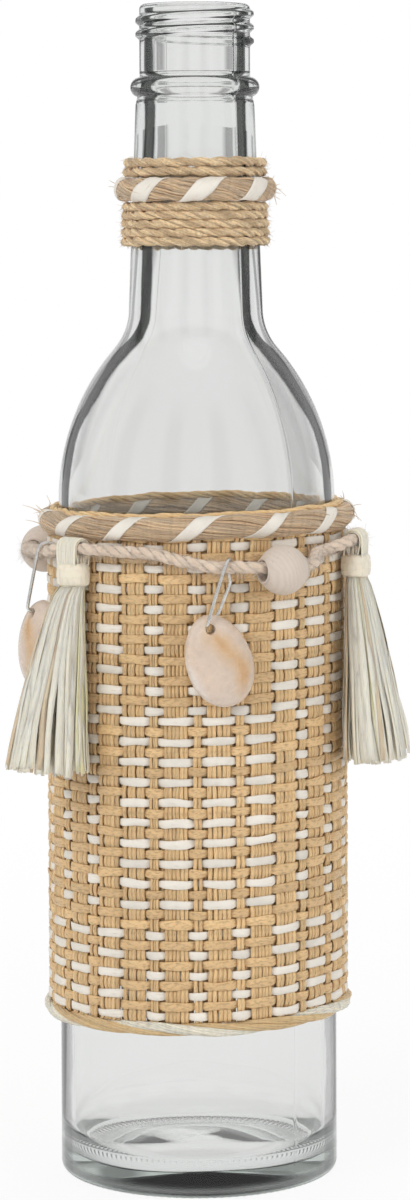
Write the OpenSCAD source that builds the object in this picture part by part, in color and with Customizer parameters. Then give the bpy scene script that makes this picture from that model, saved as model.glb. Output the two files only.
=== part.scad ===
// Open screw-neck glass bottle with a twine-bound neck, a woven straw sleeve and a cord of charms.
// Lengths are in millimetres. The bottle stands on z = 0 and its axis is Z.
// Places round the bottle are given by an angle phi: 0 is the front (-Y) and 90 the right side (+X).

/* [Bottle] */
// Height from the resting plane to the mouth
bottle_h = 272; // [262:1:290]
// Outer diameter of the body
body_d = 64.5; // [60:0.5:70]
// Thickness of the glass wall
wall = 2.8; // [2:0.1:3.6]
// Height at which the body starts to turn into the shoulder
shoulder_start = 156.5; // [156.5:0.5:162]
// Radius of the convex shoulder
shoulder_r = 54; // [50:1:56]
// Radius of the hollow curve between shoulder and neck
fillet_r = 14; // [10:1:18]
// Radius of the heel
heel_r = 2; // [1.5:0.5:5]
// Inner diameter of the flat ring that the bottle stands on
rest_in_d = 50; // [40:1:54]
// Height of the push-up under the base
punt_h = 3.5; // [1:0.5:5]
// Height of the floor of the hollow inside
floor_h = 4.5; // [4:0.5:12]

/* [Neck and finish] */
// Outer diameter of the screw finish without its thread
finish_d = 25.9; // [25:0.1:27]
// Diameter of the straight bore in the mouth
bore_d = 19; // [17:0.5:20]
// Depth of the straight bore
bore_len = 40; // [20:1:45]
// Height of the thread above the finish
thread_h = 0.9; // [0.5:0.1:1.2]
// Rise of the thread in one turn
thread_pitch = 3.2; // [2.8:0.1:3.4]
// Outer diameter of the bead below the thread
collar_d = 30.2; // [28.5:0.1:32]
// Depth of the middle of that bead below the mouth
collar_drop = 19.4; // [18:0.1:22]
// Outer diameter of the neck just below the bead
neck_top_d = 27.8; // [27:0.1:29]
// Outer diameter of the neck where it meets the shoulder's hollow curve
neck_low_d = 31.3; // [30:0.1:33]

/* [Neck binding] */
// Diameter of the twine
twine_d = 1.5; // [1:0.1:1.55]
// Rise of the twine in one turn
twine_pitch = 1.95; // [1.95:0.05:2]
// Depth of the upper winding's first turn below the mouth
twine_upper_drop = 35.7; // [34:0.1:36]
// Turns of the upper winding
twine_upper_turns = 2; // [1:1:2]
// Turns of the lower winding
twine_lower_turns = 5; // [3:1:7]
// Height of the rope ring
neck_rope_h = 5.4; // [4.2:0.1:5.6]
// Thickness of the rope ring
neck_rope_t = 4.1; // [3:0.1:4.1]

/* [Sleeve] */
// Height of the sleeve's lower edge
sleeve_low = 41; // [41:1:60]
// Height of the sleeve's upper edge
sleeve_high = 149.6; // [140:0.1:149.6]
// Blocks of straws round the sleeve
blocks = 6; // [4:1:8]
// Thickness of the upright straws
warp_t = 1.8; // [1:0.1:2]
// Thickness of the cross rows
weft_t = 0.9; // [0.5:0.1:1.2]
// Height of one cross row
weft_h = 1.9; // [1.2:0.1:2]
// Distance from one cross row to the next
weft_pitch = 2.3; // [2.1:0.05:2.6]
// Bare edge of the upright straws above the first cross row
weft_drop = 0.65; // [0.5:0.05:1.6]
// Thickness of the rope on the upper rim
top_rope_t = 4.5; // [3.6:0.1:4.5]
// Height of the rope on the upper rim
top_rope_h = 5.4; // [4.6:0.1:5.6]
// Diameter of the cord on the lower rim
low_cord_d = 3.1; // [2:0.1:3.3]

/* [Charm cord] */
// Diameter of the cord that carries the charms
cord_d = 2.8; // [2:0.1:2.8]
// Diameter of a bead
bead_d = 11.3; // [10:0.1:11.4]
// Diameter of a bead's bore
bead_bore_d = 4.6; // [3.6:0.1:5]
// Width of a tassel's loop, along the cord
loop_w = 6.4; // [4:0.1:7]
// Thickness of a tassel's loop
loop_t = 1.1; // [0.8:0.1:1.2]
// Height of the winding that closes a tassel
band_h = 5.4; // [4:0.1:6]
// Length of a tassel below the cord
tassel_len = 51.5; // [40:0.5:60]
// Width of a tassel's lower end, along the sleeve
tassel_w = 22; // [14:0.5:24]
// Depth of a tassel's lower end, away from the sleeve
tassel_depth = 15; // [10:0.5:16]
// Diameter of the wire that carries a shell
wire_d = 0.8; // [0.6:0.05:0.9]
// Depth of the shell's hole below the cord
wire_len = 13.7; // [12:0.1:18]
// Length of a shell
shell_len = 21.3; // [18:0.1:23]
// Width of a shell
shell_w = 15; // [12:0.1:16]
// Thickness of a shell
shell_t = 7.4; // [6:0.1:7.6]

/* [Hidden] */

GLASS = [0.80, 0.87, 0.85, 0.45];
JUTE = [0.70, 0.56, 0.37];
PEACH = [0.85, 0.66, 0.51];
STRAW = [0.83, 0.66, 0.40];
PAPER = [0.93, 0.90, 0.86];
WOOL = [0.80, 0.73, 0.65];
WOOD = [0.88, 0.75, 0.63];
RAFFIA = [0.88, 0.83, 0.72];
SILVER = [0.75, 0.75, 0.76];
PORCELAIN = [0.90, 0.87, 0.82];

body_r = body_d / 2;
finish_r = finish_d / 2;
bore_r = bore_d / 2;
neck_top_r = neck_top_d / 2;
neck_low_r = neck_low_d / 2;
rest_in_r = rest_in_d / 2;

// Centres of the shoulder's convex arc and of its hollow arc, which touch each other
shoulder_c = [body_r - shoulder_r, shoulder_start];
fillet_x = neck_low_r + fillet_r;
arcs_rise = sqrt(pow(shoulder_r + fillet_r, 2) - pow(fillet_x - shoulder_c[0], 2));
fillet_c = [fillet_x, shoulder_start + arcs_rise];
turn_angle = atan2(fillet_c[1] - shoulder_c[1], fillet_c[0] - shoulder_c[0]);

// Bead below the thread: a half round on the neck
collar_round = 2.35;
collar_c = [collar_d / 2 - collar_round, bottle_h - collar_drop];
neck_shelf_r = neck_top_r - 0.4;
neck_shelf_drop = 1.8;
neck_shelf_z = collar_c[1] - collar_round - neck_shelf_drop;
rim_round = 1.2;
bore_round = 0.8;
floor_round = 8;
floor_rise = 0.6 * punt_h;

// Thread: full turns and a run-out at each end, with its flat crest and its foot in the glass
thread_turns = 2;
thread_top_drop = 2.3;
thread_runout = 35;
thread_steps = 54;
thread_sink = 0.3;
thread_foot = 1.2;
thread_crest = 0.45;
thread_root = 0.5;

// Clearance between the glass and what is wound round it, and between the windings on the neck
soft_gap = 0.2;
loop_rings = 24;
twine_sides = 6;
twine_upper_z = bottle_h - twine_upper_drop;
neck_rope_z = twine_upper_z - twine_upper_turns * twine_pitch - twine_d / 2 - soft_gap - neck_rope_h / 2;
twine_lower_z = neck_rope_z - neck_rope_h / 2 - soft_gap - twine_d / 2;

// Sleeve on the body, and the ropes above and below its edges
sleeve_gap = 0.25;
rim_gap = 0.1;
top_rope_gap = 0.4;
low_cord_gap = 0.65;
sleeve_in_r = body_r + sleeve_gap;
warp_out_r = sleeve_in_r + warp_t;
sleeve_r = warp_out_r + weft_t;
top_rope_r = body_r + top_rope_gap + top_rope_t / 2;
top_rope_z = sleeve_high + rim_gap + top_rope_h / 2;
low_cord_r = body_r + low_cord_gap + low_cord_d / 2;
low_cord_z = sleeve_low - rim_gap - low_cord_d / 2;
first_row_z = sleeve_high - weft_drop - weft_h;
row_count = floor((first_row_z - sleeve_low) / weft_pitch) + 1;

// Columns of upright straws in one block: place and half width in degrees, when there are six blocks
column_places = [-24.6, -16.4, -8.2, 0, 8.2, 16.4, 24.6];
column_halves = [4.4, 1.6, 4.4, 1.6, 4.4, 1.6, 4.4];

// Rows, counted from the top: white paper lies in the even rows of the upper and lower part and in the
// odd rows of the middle part
upper_white_end = 16;
middle_white_end = 36;

cord_r = cord_d / 2;
play = 0.2;

// Stations along the charm cord: angle phi, distance outside the sleeve, height, half length of the
// straight stretch. Seats are the places where the cord lies against the sleeve.
knot = [174, 2.8, 145, 2.2];
tassel_at = [[-46.5, 3.4, 147.5, 3.4], [72, 3.4, 148, 3.4], [195, 3.4, 146, 3.4]];
bead_at = [[-118, 6.1, 143.9, 6], [28, 6.1, 143.9, 6], [150, 6.1, 144, 6]];
shell_at = [[-61, 3.8, 146, 1], [10, 4.3, 144.1, 1], [119, 4.3, 145.5, 1]];
// Lean of each wire along the cord, and of each shell from the upright
wire_lean = [6, 19.5, 3];
shell_lean = [10, -18, 10];
seat_gap = 1.6;
seats = [[-141, seat_gap, 145.5, 0], [-84, seat_gap + 0.5, 144.8, 0], [-21, seat_gap, 147, 0],
    [50, seat_gap, 146.3, 0], [98, seat_gap, 147, 0]];
stations = [tassel_at[2] - [360, 0, 0, 0], seats[0], bead_at[0], seats[1], shell_at[0], tassel_at[0],
    seats[2], shell_at[1], bead_at[1], seats[3], tassel_at[1], seats[4], shell_at[2], bead_at[2]];
bend_steps = 4;
cord_sides = 8;
knot_r = 2.5;
knot_gap = 0.2;
tail_d = 1.8;
tail_len = 13;
tail_spread = 6;

loop_bore_r = cord_r + play;
loop_r = loop_bore_r + loop_t;
loop_neck = 0.7;
band_top = loop_r + loop_neck;
band_w = 7.8;
band_depth = 5.8;
band_t = 0.7;
head_w = band_w - 2 * band_t;
head_depth = band_depth - 2 * band_t;
oval_sides = 40;
// Shares of the full width and depth at each tassel's lower end, and how late its sides flare
skirt_w_share = [0.73, 1, 1];
skirt_depth_share = [1.33, 1, 1];
skirt_w_flare = [0.9, 0.5, 0.5];
skirt_depth_flare = [0.6, 0.8, 0.8];
skirt_flutes = 10;
skirt_flute = 0.05;
skirt_rings = 7;

wire_r = wire_d / 2;
wire_top_r = cord_r + play + wire_r;
wire_front = 4.1;
wire_back = 2.6;
wire_bend = 0.9;
hole_r = 1.15;
hole_play = 0.1;
hole_to_tip = 2.9;
shell_front_share = 0.67;
shell_sides = 24;
shell_rings = 12;
shell_swell = 0.08;
slit_w = 0.9;
slit_deep = 0.8;
slit_len = shell_len * 0.55;
slit_low = shell_len * 0.72;

function unit(v) = v / norm(v);
function mix(a, b, s) = a + (b - a) * s;
function arc(c, r, from, to, steps) =
    [for (i = [0 : steps]) let (a = mix(from, to, i / steps)) c + r * [cos(a), sin(a)]];

// Radius of the glass neck at height z, also on the hollow curve below it
function neck_r(z) = z > fillet_c[1]
    ? mix(neck_low_r, neck_top_r, (z - fillet_c[1]) / (neck_shelf_z - fillet_c[1]))
    : fillet_c[0] - sqrt(pow(fillet_r, 2) - pow(fillet_c[1] - z, 2));

// Shallow cap from the axis, at height top, out to radius r, at height top - rise
function cap(r, top, rise, steps) =
    let (sphere_r = (r * r + rise * rise) / (2 * rise))
    [for (i = [0 : steps]) let (a = asin(r / sphere_r) * i / steps)
        [sphere_r * sin(a), top - sphere_r * (1 - cos(a))]];
function reversed(list) = [for (i = [len(list) - 1 : -1 : 0]) list[i]];
function all_but_first(list) = [for (i = [1 : len(list) - 1]) list[i]];

// Point at angle phi, distance r from the axis and height z
function place(phi, r, z) = [r * sin(phi), -r * cos(phi), z];
function along(phi) = [cos(phi), sin(phi), 0];
function station_point(s, side) = place(s[0], sleeve_r + s[1], s[2]) + side * s[3] * along(s[0]);

// Curve between two points with a given direction at each
function bend(p, p_dir, q, q_dir, s) =
    let (l = norm(q - p))
    (2 * pow(s, 3) - 3 * pow(s, 2) + 1) * p + (pow(s, 3) - 2 * pow(s, 2) + s) * l * p_dir
    + (3 * pow(s, 2) - 2 * pow(s, 3)) * q + (pow(s, 3) - pow(s, 2)) * l * q_dir;

// Ends of the cord's straight stretches in order round the sleeve, from the knot back to the knot
knot_start = knot - [360, 0, 0, 0];
cord_marks = concat(
    [[station_point(knot_start, 1), along(knot_start[0])]],
    [for (s = stations) for (side = s[3] > 0 ? [-1, 1] : [0]) [station_point(s, side), along(s[0])]],
    [[station_point(knot, -1), along(knot[0])]]);
cord_path = concat(
    [for (i = [0 : len(cord_marks) - 2])
        let (a = cord_marks[i], b = cord_marks[i + 1], straight = norm(unit(b[0] - a[0]) - a[1]) < 0.001)
        for (k = [0 : straight ? 0 : bend_steps - 1]) bend(a[0], a[1], b[0], b[1], k / bend_steps)],
    [cord_marks[len(cord_marks) - 1][0]]);

// Loops of twine from height z down, with a straight end of one diameter at each end
function winding(z, turns) =
    let (steps = turns * loop_rings,
        loops = [for (i = [0 : steps]) let (h = z - twine_pitch * i / loop_rings)
            place(180 + 360 * i / loop_rings, neck_r(h) + soft_gap + twine_d / 2, h)],
        first = unit(loops[0] - loops[1]),
        last = unit(loops[steps] - loops[steps - 1]))
    concat([loops[0] + twine_d * first], loops, [loops[steps] + twine_d * last]);
function winding_gap(path) =
    let (last = len(path) - 1,
        far = [for (i = [0 : last]) for (j = [i + loop_rings / 2 : 1 : last]) norm(path[i] - path[j])])
    min(far) - twine_d;

twine_upper = winding(twine_upper_z, twine_upper_turns);
twine_lower = winding(twine_lower_z, twine_lower_turns);
echo(least_gap_upper_twine = winding_gap(twine_upper), least_gap_lower_twine = winding_gap(twine_lower));

function stadium(r, h) = concat(arc([0, h / 2 - r], r, 0, 180, 8), arc([0, r - h / 2], r, 180, 360, 8));
function oval(w, h) =
    [for (k = [0 : oval_sides - 1]) let (a = 360 * k / oval_sides) [w / 2 * cos(a), h / 2 * sin(a)]];
function direction(path, i, closed) =
    let (n = len(path),
        before = closed ? path[(i + n - 1) % n] : path[max(i - 1, 0)],
        after = closed ? path[(i + 1) % n] : path[min(i + 1, n - 1)])
    unit(after - before);

// Skin over rings of points, each ring with the same number of points
module skin(rings, closed = false) {
    n = len(rings);
    m = len(rings[0]);
    walls = [for (i = [0 : n - (closed ? 1 : 2)]) for (k = [0 : m - 1])
        let (next_i = (i + 1) % n,
            next_k = (k + 1) % m,
            a = i * m + k,
            b = i * m + next_k,
            c = next_i * m + next_k,
            d = next_i * m + k)
        each [[c, b, a], [d, c, a]]];
    ends = closed ? [] : [[for (k = [0 : m - 1]) k], [for (k = [m - 1 : -1 : 0]) (n - 1) * m + k]];
    polyhedron(points = [for (ring = rings) each ring], faces = concat(walls, ends), convexity = 8);
}

// Tube along a path, with its section measured from the direction up
module tube(path, r, sides, up, closed = false) {
    skin([for (i = [0 : len(path) - 1])
        let (t = direction(path, i, closed), s = unit(cross(t, up)), w = cross(s, t))
        [for (k = [0 : sides - 1])
            let (a = 360 * k / sides)
            path[i] + r * (cos(a) * s - sin(a) * w)]], closed);
}

module ring(r, z, width, height) {
    translate([0, 0, z])
        rotate_extrude($fn = 96)
            translate([r, 0])
                polygon(stadium(width / 2, height));
}

// Frame of a charm: its origin is the cord's middle, X runs along the cord and -Y points outward
module at_station(s) {
    rotate([0, 0, s[0]])
        translate([0, -sleeve_r - s[1], s[2]])
            children();
}

module across(r, length) {
    rotate([0, 90, 0])
        cylinder(r = r, h = length, center = true, $fn = 48);
}

module thread() {
    runout = thread_runout / 360;
    start_z = bottle_h - thread_top_drop - thread_pitch * (thread_turns + runout);
    all_turns = thread_turns + 2 * runout;
    skin([for (i = [0 : thread_steps])
        let (turn = all_turns * i / thread_steps - runout,
            fade = min(1, (turn + runout) / runout, (thread_turns + runout - turn) / runout),
            crest = finish_r + mix(-thread_sink, thread_h, fade),
            z = start_z + thread_pitch * (turn + runout),
            root = finish_r - thread_root)
        [for (p = [[root, thread_foot], [crest, thread_crest], [crest, -thread_crest], [root, -thread_foot]])
            [p[0] * cos(360 * turn), p[0] * sin(360 * turn), z + p[1]]]]);
}

module glass_bottle() {
    shelf_angle = acos((neck_shelf_r - collar_c[0]) / collar_round);
    finish_angle = acos((finish_r - collar_c[0]) / collar_round);
    outside = concat(
        cap(rest_in_r, punt_h, punt_h, 6),
        arc([body_r - heel_r, heel_r], heel_r, -90, 0, 5),
        arc(shoulder_c, shoulder_r, 0, turn_angle, 14),
        all_but_first(arc(fillet_c, fillet_r, turn_angle + 180, 180, 7)),
        [[neck_top_r, neck_shelf_z]],
        arc(collar_c, collar_round, -shelf_angle, finish_angle, 9),
        arc([finish_r - rim_round, bottle_h - rim_round], rim_round, 0, 90, 4));
    inside = concat(
        arc([bore_r + bore_round, bottle_h - bore_round], bore_round, 90, 180, 3),
        [[bore_r, bottle_h - bore_len]],
        arc(fillet_c, fillet_r + wall, 180, turn_angle + 180, 6),
        all_but_first(arc(shoulder_c, shoulder_r - wall, turn_angle, 0, 12)),
        arc([body_r - wall - floor_round, floor_h + floor_round], floor_round, 0, -90, 4),
        reversed(cap(body_r - wall - floor_round, floor_h + floor_rise, floor_rise, 4)));
    color(GLASS)
        union() {
            rotate_extrude($fn = 128)
                polygon(concat(outside, inside));
            thread();
        }
}

module neck_twine_upper() {
    color(JUTE)
        tube(twine_upper, twine_d / 2, twine_sides, [0, 0, 1]);
}

module neck_twine_lower() {
    color(JUTE)
        tube(twine_lower, twine_d / 2, twine_sides, [0, 0, 1]);
}

module neck_rope() {
    inner_r = neck_r(neck_rope_z - neck_rope_h / 2) + soft_gap;
    color(PEACH)
        ring(inner_r + neck_rope_t / 2, neck_rope_z, neck_rope_t, neck_rope_h);
}

module sleeve_warps() {
    spread = 6 / blocks;
    color(STRAW)
        for (block = [0 : blocks - 1])
            for (i = [0 : len(column_places) - 1])
                rotate([0, 0, 360 * block / blocks + spread * (column_places[i] - column_halves[i]) - 90])
                    translate([0, 0, sleeve_low])
                        rotate_extrude(angle = 2 * spread * column_halves[i], $fn = 96)
                            translate([sleeve_in_r, 0])
                                square([warp_t, sleeve_high - sleeve_low]);
}

function row_is_white(i) = i <= upper_white_end || i > middle_white_end + 1
    ? i % 2 == 0
    : i < middle_white_end && i % 2 == 1;

module sleeve_wefts(white) {
    for (i = [0 : row_count - 1])
        if (row_is_white(i) == white)
            translate([0, 0, first_row_z - i * weft_pitch])
                rotate_extrude($fn = 96)
                    translate([warp_out_r, 0])
                        square([weft_t, weft_h]);
}

module sleeve_wefts_natural() {
    color(STRAW)
        sleeve_wefts(false);
}

module sleeve_wefts_white() {
    color(PAPER)
        sleeve_wefts(true);
}

module sleeve_top_rope() {
    color(PEACH)
        ring(top_rope_r, top_rope_z, top_rope_t, top_rope_h);
}

module sleeve_bottom_cord() {
    color(STRAW)
        ring(low_cord_r, low_cord_z, low_cord_d, low_cord_d);
}

module charm_cord() {
    color(WOOL)
        tube(cord_path, cord_r, cord_sides, [0, 0, 1]);
}

module charm_knot() {
    color(WOOL)
        at_station(knot)
            union() {
                across(knot_r, 2 * (knot[3] - knot_gap));
                for (side = [-1, 1])
                    translate([tail_d / 2 * side, 0, 0])
                        rotate([0, -tail_spread * side, 0])
                            translate([0, 0, -tail_len])
                                cylinder(d = tail_d, h = tail_len, $fn = 24);
            }
}

module bead(i) {
    color(WOOD)
        at_station(bead_at[i - 1])
            translate([0, 0, cord_r + play - bead_bore_d / 2])
                difference() {
                    sphere(d = bead_d, $fn = 64);
                    across(bead_bore_d / 2, bead_d + 2);
                }
}

// Ring of a tassel's skirt: s runs from 0, at the head's oval, to 1 at the lower end
function skirt_ring(i, s, z) =
    let (half_w = mix(head_w / 2, tassel_w / 2 * skirt_w_share[i - 1], pow(s, skirt_w_flare[i - 1])),
        half_d = mix(head_depth / 2, tassel_depth / 2 * skirt_depth_share[i - 1],
            pow(s, skirt_depth_flare[i - 1])),
        back = mix(head_depth / 2, band_depth / 2 - 0.3, s))
    [for (k = [0 : oval_sides - 1])
        let (a = -360 * k / oval_sides, f = 1 - skirt_flute * s * (1 - cos(skirt_flutes * a)))
        [half_w * f * cos(a), half_d * f * sin(a) + back - half_d, z]];

module tassel(i) {
    color(RAFFIA)
        at_station(tassel_at[i - 1])
            union() {
                difference() {
                    union() {
                        across(loop_r, loop_w);
                        translate([-loop_w / 2, -loop_r, -band_top])
                            cube([loop_w, 2 * loop_r, band_top]);
                    }
                    across(loop_bore_r, loop_w + 2);
                    translate([-loop_w / 2 - 1, -loop_bore_r, -loop_r])
                        cube([loop_w + 2, 2 * loop_bore_r, loop_r]);
                }
                skin(concat([skirt_ring(i, 0, -band_top)],
                    [for (k = [0 : skirt_rings - 1])
                        let (s = k / (skirt_rings - 1))
                        skirt_ring(i, s, mix(-band_top - band_h, -tassel_len, s))]));
            }
}

module tassel_binding(i) {
    color(RAFFIA)
        at_station(tassel_at[i - 1])
            translate([0, 0, -band_top - band_h])
                linear_extrude(band_h)
                    difference() {
                        polygon(oval(band_w, band_depth));
                        polygon(oval(head_w, head_depth));
                    }
}

// Closed loop of wire in the plane across the cord: over the cord, down, and through the shell's hole
module shell_wire(i) {
    bends = concat(
        arc([0, 0], wire_top_r, 180, 0, 8),
        [mix([wire_top_r, 0], [wire_back, -wire_len + wire_bend], 0.5)],
        arc([wire_back - wire_bend, wire_bend - wire_len], wire_bend, 0, -90, 3),
        arc([wire_bend - wire_front, wire_bend - wire_len], wire_bend, -90, -180, 3),
        [mix([-wire_front, wire_bend - wire_len], [-wire_top_r, 0], 0.5)]);
    color(SILVER)
        at_station(shell_at[i - 1])
            rotate([0, wire_lean[i - 1], 0])
                tube([for (p = bends) [0, p[0], p[1]]], wire_r, 8, [1, 0, 0], true);
}

// Cowrie with its hole at the origin and its long axis down: domed in front, nearly flat behind
function shell_ring(u) =
    let (round = sqrt(max(0.0004, 1 - u * u)),
        half_w = shell_w / 2 * round * (1 + shell_swell * u),
        front = shell_t * shell_front_share * round,
        back = shell_t * (1 - shell_front_share) * round,
        z = hole_to_tip - shell_len / 2 - u * shell_len / 2)
    [for (k = [0 : shell_sides - 1])
        let (a = -360 * k / shell_sides)
        [half_w * cos(a), sin(a) < 0 ? front * sin(a) : back * pow(abs(sin(a)), 0.5), z]];

module cowrie() {
    difference() {
        skin([for (k = [0 : shell_rings]) shell_ring(-cos(180 * k / shell_rings))]);
        rotate([90, 0, 0])
            cylinder(r = hole_r, h = 2 * shell_t, center = true, $fn = 32);
        translate([-slit_w / 2, shell_t * (1 - shell_front_share) - slit_deep, -slit_low])
            cube([slit_w, shell_t, slit_len]);
    }
}

module shell(i) {
    color(PORCELAIN)
        at_station(shell_at[i - 1])
            rotate([0, wire_lean[i - 1], 0])
                translate([0, 0, -wire_len])
                    rotate([0, shell_lean[i - 1] - wire_lean[i - 1], 0])
                        translate([0, 0, wire_r + hole_play - hole_r])
                            cowrie();
}

glass_bottle();
neck_twine_upper();
neck_twine_lower();
neck_rope();
sleeve_warps();
sleeve_wefts_natural();
sleeve_wefts_white();
sleeve_top_rope();
sleeve_bottom_cord();
charm_cord();
charm_knot();
bead(1);  // bead_1
bead(2);  // bead_2
bead(3);  // bead_3
tassel(1);  // tassel_1
tassel(2);  // tassel_2
tassel(3);  // tassel_3
tassel_binding(1);  // tassel_binding_1
tassel_binding(2);  // tassel_binding_2
tassel_binding(3);  // tassel_binding_3
shell_wire(1);  // shell_wire_1
shell_wire(2);  // shell_wire_2
shell_wire(3);  // shell_wire_3
shell(1);  // shell_1
shell(2);  // shell_2
shell(3);  // shell_3
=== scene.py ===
"""Open screw-neck glass bottle with a twine-bound neck, a woven straw sleeve and a cord of charms.

Lengths are in metres. Places round the bottle are given by an angle phi, in radians in the functions and in
degrees in the lists: 0 is the front (-Y) and 90 degrees the right side (+X).
"""

import math

import bpy
import numpy as np
from bpy.props import FloatProperty, FloatVectorProperty, IntProperty, PointerProperty
from mathutils import Euler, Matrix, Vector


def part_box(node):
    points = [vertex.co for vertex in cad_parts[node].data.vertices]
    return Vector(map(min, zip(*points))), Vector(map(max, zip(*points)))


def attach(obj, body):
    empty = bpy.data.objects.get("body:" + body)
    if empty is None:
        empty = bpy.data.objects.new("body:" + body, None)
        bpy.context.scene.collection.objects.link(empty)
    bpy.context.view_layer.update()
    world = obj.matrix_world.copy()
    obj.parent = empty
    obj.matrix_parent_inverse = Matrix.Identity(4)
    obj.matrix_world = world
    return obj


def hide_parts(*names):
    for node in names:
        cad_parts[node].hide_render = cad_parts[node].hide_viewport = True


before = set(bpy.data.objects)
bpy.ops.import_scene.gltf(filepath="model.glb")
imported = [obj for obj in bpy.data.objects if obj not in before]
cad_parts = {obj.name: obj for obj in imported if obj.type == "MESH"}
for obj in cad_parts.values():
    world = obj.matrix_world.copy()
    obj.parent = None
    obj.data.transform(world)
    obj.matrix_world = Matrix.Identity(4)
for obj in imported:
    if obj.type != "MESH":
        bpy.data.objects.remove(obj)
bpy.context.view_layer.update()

bl_info = {
    "name": "Charm bottle",
    "version": (1, 0, 0),
    "blender": (4, 5, 0),
    "location": "View3D > Sidebar > Charm Bottle",
    "description": "Makes a glass bottle with a woven straw sleeve and a cord of charms",
    "category": "Add Mesh",
}

MM = 0.001
TURN = 2 * np.pi

# Stations on the charm cord: angle phi in degrees, distance outside the sleeve, height and half length of the
# straight stretch, the lengths in millimetres. Seats are the places where the cord lies against the sleeve.
KNOT = (174, 2.8, 145, 2.2)
TASSELS = ((-46.5, 3.4, 147.5, 3.4), (72, 3.4, 148, 3.4), (195, 3.4, 146, 3.4))
BEADS = ((-118, 6.1, 143.9, 6), (28, 6.1, 143.9, 6), (150, 6.1, 144, 6))
SHELLS = ((-61, 3.8, 146, 1), (10, 4.3, 144.1, 1), (119, 4.3, 145.5, 1))
SEATS = ((-141, 1.6, 145.5, 0), (-84, 2.1, 144.8, 0), (-21, 1.6, 147, 0), (50, 1.6, 146.3, 0), (98, 1.6, 147, 0))
WIRE_LEAN = (6, 19.5, 3)
# Lower ends of the tassels' skirts: half width and half depth in millimetres, the powers with which the two grow
# downward, and where the locks start
SKIRTS = ((8.4, 10.6, 0.9, 0.65, 0.5), (11, 7.5, 0.5, 0.8, 1.9), (11, 7.5, 0.5, 0.8, 3.1))
SHELL_LEAN = (10, -18, 10)

# Columns of upright straws in one of the sleeve's six blocks: place and half width in degrees
BLOCKS = 6
COLUMN_PLACES = np.array([-24.6, -16.4, -8.2, 0, 8.2, 16.4, 24.6])
COLUMN_HALVES = np.array([4.4, 1.6, 4.4, 1.6, 4.4, 1.6, 4.4])


# Shapes ------------------------------------------------------------------------------------------------


def smooth(t):
    """Eases from 0 to 1: 3 t^2 - 2 t^3, with t held between 0 and 1."""
    t = np.clip(t, 0, 1)
    return t * t * (3 - 2 * t)


def unit(v):
    """The vectors divided by their lengths."""
    return v / np.maximum(np.linalg.norm(v, axis=-1, keepdims=True), 1e-12)


def around(phi, r, z):
    """Points at angle phi, distance r from the bottle's axis and height z."""
    return np.stack(np.broadcast_arrays(r * np.sin(phi), -r * np.cos(phi), z), -1)


def arc(centre, r, start, end, count):
    """Points on a circle round centre, from the angle start to the angle end in degrees."""
    a = np.radians(np.linspace(start, end, count))
    return np.stack([centre[0] + r * np.cos(a), centre[1] + r * np.sin(a)], -1)


def line(start, end, count):
    """Points between start and end, without the two themselves."""
    t = np.linspace(0, 1, count + 2)[1:-1, None]
    return np.array(start) * (1 - t) + np.array(end) * t


def wander(x, rng, amount, waves, shape=()):
    """A sum of sines over x whose wave numbers are waves, each with a random phase and strength."""
    waves = np.array(waves, float)
    strength = rng.normal(0, 1, shape + (len(waves), 1)) / np.sqrt(len(waves))
    phase = rng.uniform(0, TURN, shape + (len(waves), 1))
    return amount * (strength * np.sin(waves[:, None] * np.asarray(x)[..., None, :] + phase)).sum(-2)


def lean(points, slope):
    """The sleeve sits a little askew: each point rises by slope times its x."""
    raised = points.copy()
    raised[..., 2] += slope * raised[..., 0]
    return raised


def frames(path, up, closed=False):
    """Tangent, normal nearest to up and their cross product at each point of the path."""
    if closed:
        tangent = np.roll(path, -1, -2) - np.roll(path, 1, -2)
    else:
        tangent = np.gradient(path, axis=-2)
    tangent = unit(tangent)
    up = np.broadcast_to(up, path.shape)
    normal = unit(up - (up * tangent).sum(-1, keepdims=True) * tangent)
    return tangent, normal, np.cross(tangent, normal)


def tube(path, up, thick, wide, sides, closed=False, square=1.0, turn=0.0):
    """A section carried along the path: thick * cos(a)^square along the normal, wide * sin(a)^square across it.

    A square below 1 makes the section fuller, up to a ribbon with rounded edges. turn twists the section.
    """
    _, normal, side = frames(path, up, closed)
    a = np.arange(sides) * TURN / sides
    c = np.sign(np.cos(a)) * np.abs(np.cos(a)) ** square
    s = np.sign(np.sin(a)) * np.abs(np.sin(a)) ** square
    x = np.asarray(thick)[..., None] * c
    y = np.asarray(wide)[..., None] * s
    turn = np.asarray(turn)[..., None]
    x, y = x * np.cos(turn) - y * np.sin(turn), x * np.sin(turn) + y * np.cos(turn)
    x, y = (np.broadcast_to(v, path.shape[:-1] + (sides,))[..., None] for v in (x, y))
    return path[..., None, :] + x * normal[..., None, :] + y * side[..., None, :]


def plies(path, up, count, offset, lay, phase=0.0, closed=False):
    """Paths of the plies of a twisted cord: each winds round the path at distance offset, once in each lay."""
    _, normal, side = frames(path, up, closed)
    steps = np.linalg.norm(np.diff(path, axis=0), axis=-1)
    along = np.concatenate([[0], np.cumsum(steps)])
    if closed:
        whole = along[-1] + np.linalg.norm(path[0] - path[-1])
        lay = whole / max(1, round(whole / lay))
    a = TURN * (along[None, :] / lay + np.arange(count)[:, None] / count) + phase
    return path + offset * (np.cos(a)[..., None] * normal + np.sin(a)[..., None] * side)


def evenly(path, step):
    """The path again with points a step apart along it."""
    along = np.concatenate([[0], np.cumsum(np.linalg.norm(np.diff(path, axis=0), axis=-1))])
    places = np.linspace(0, along[-1], max(2, round(along[-1] / step)))
    return np.stack([np.interp(places, along, path[:, k]) for k in range(3)], -1)


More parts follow.
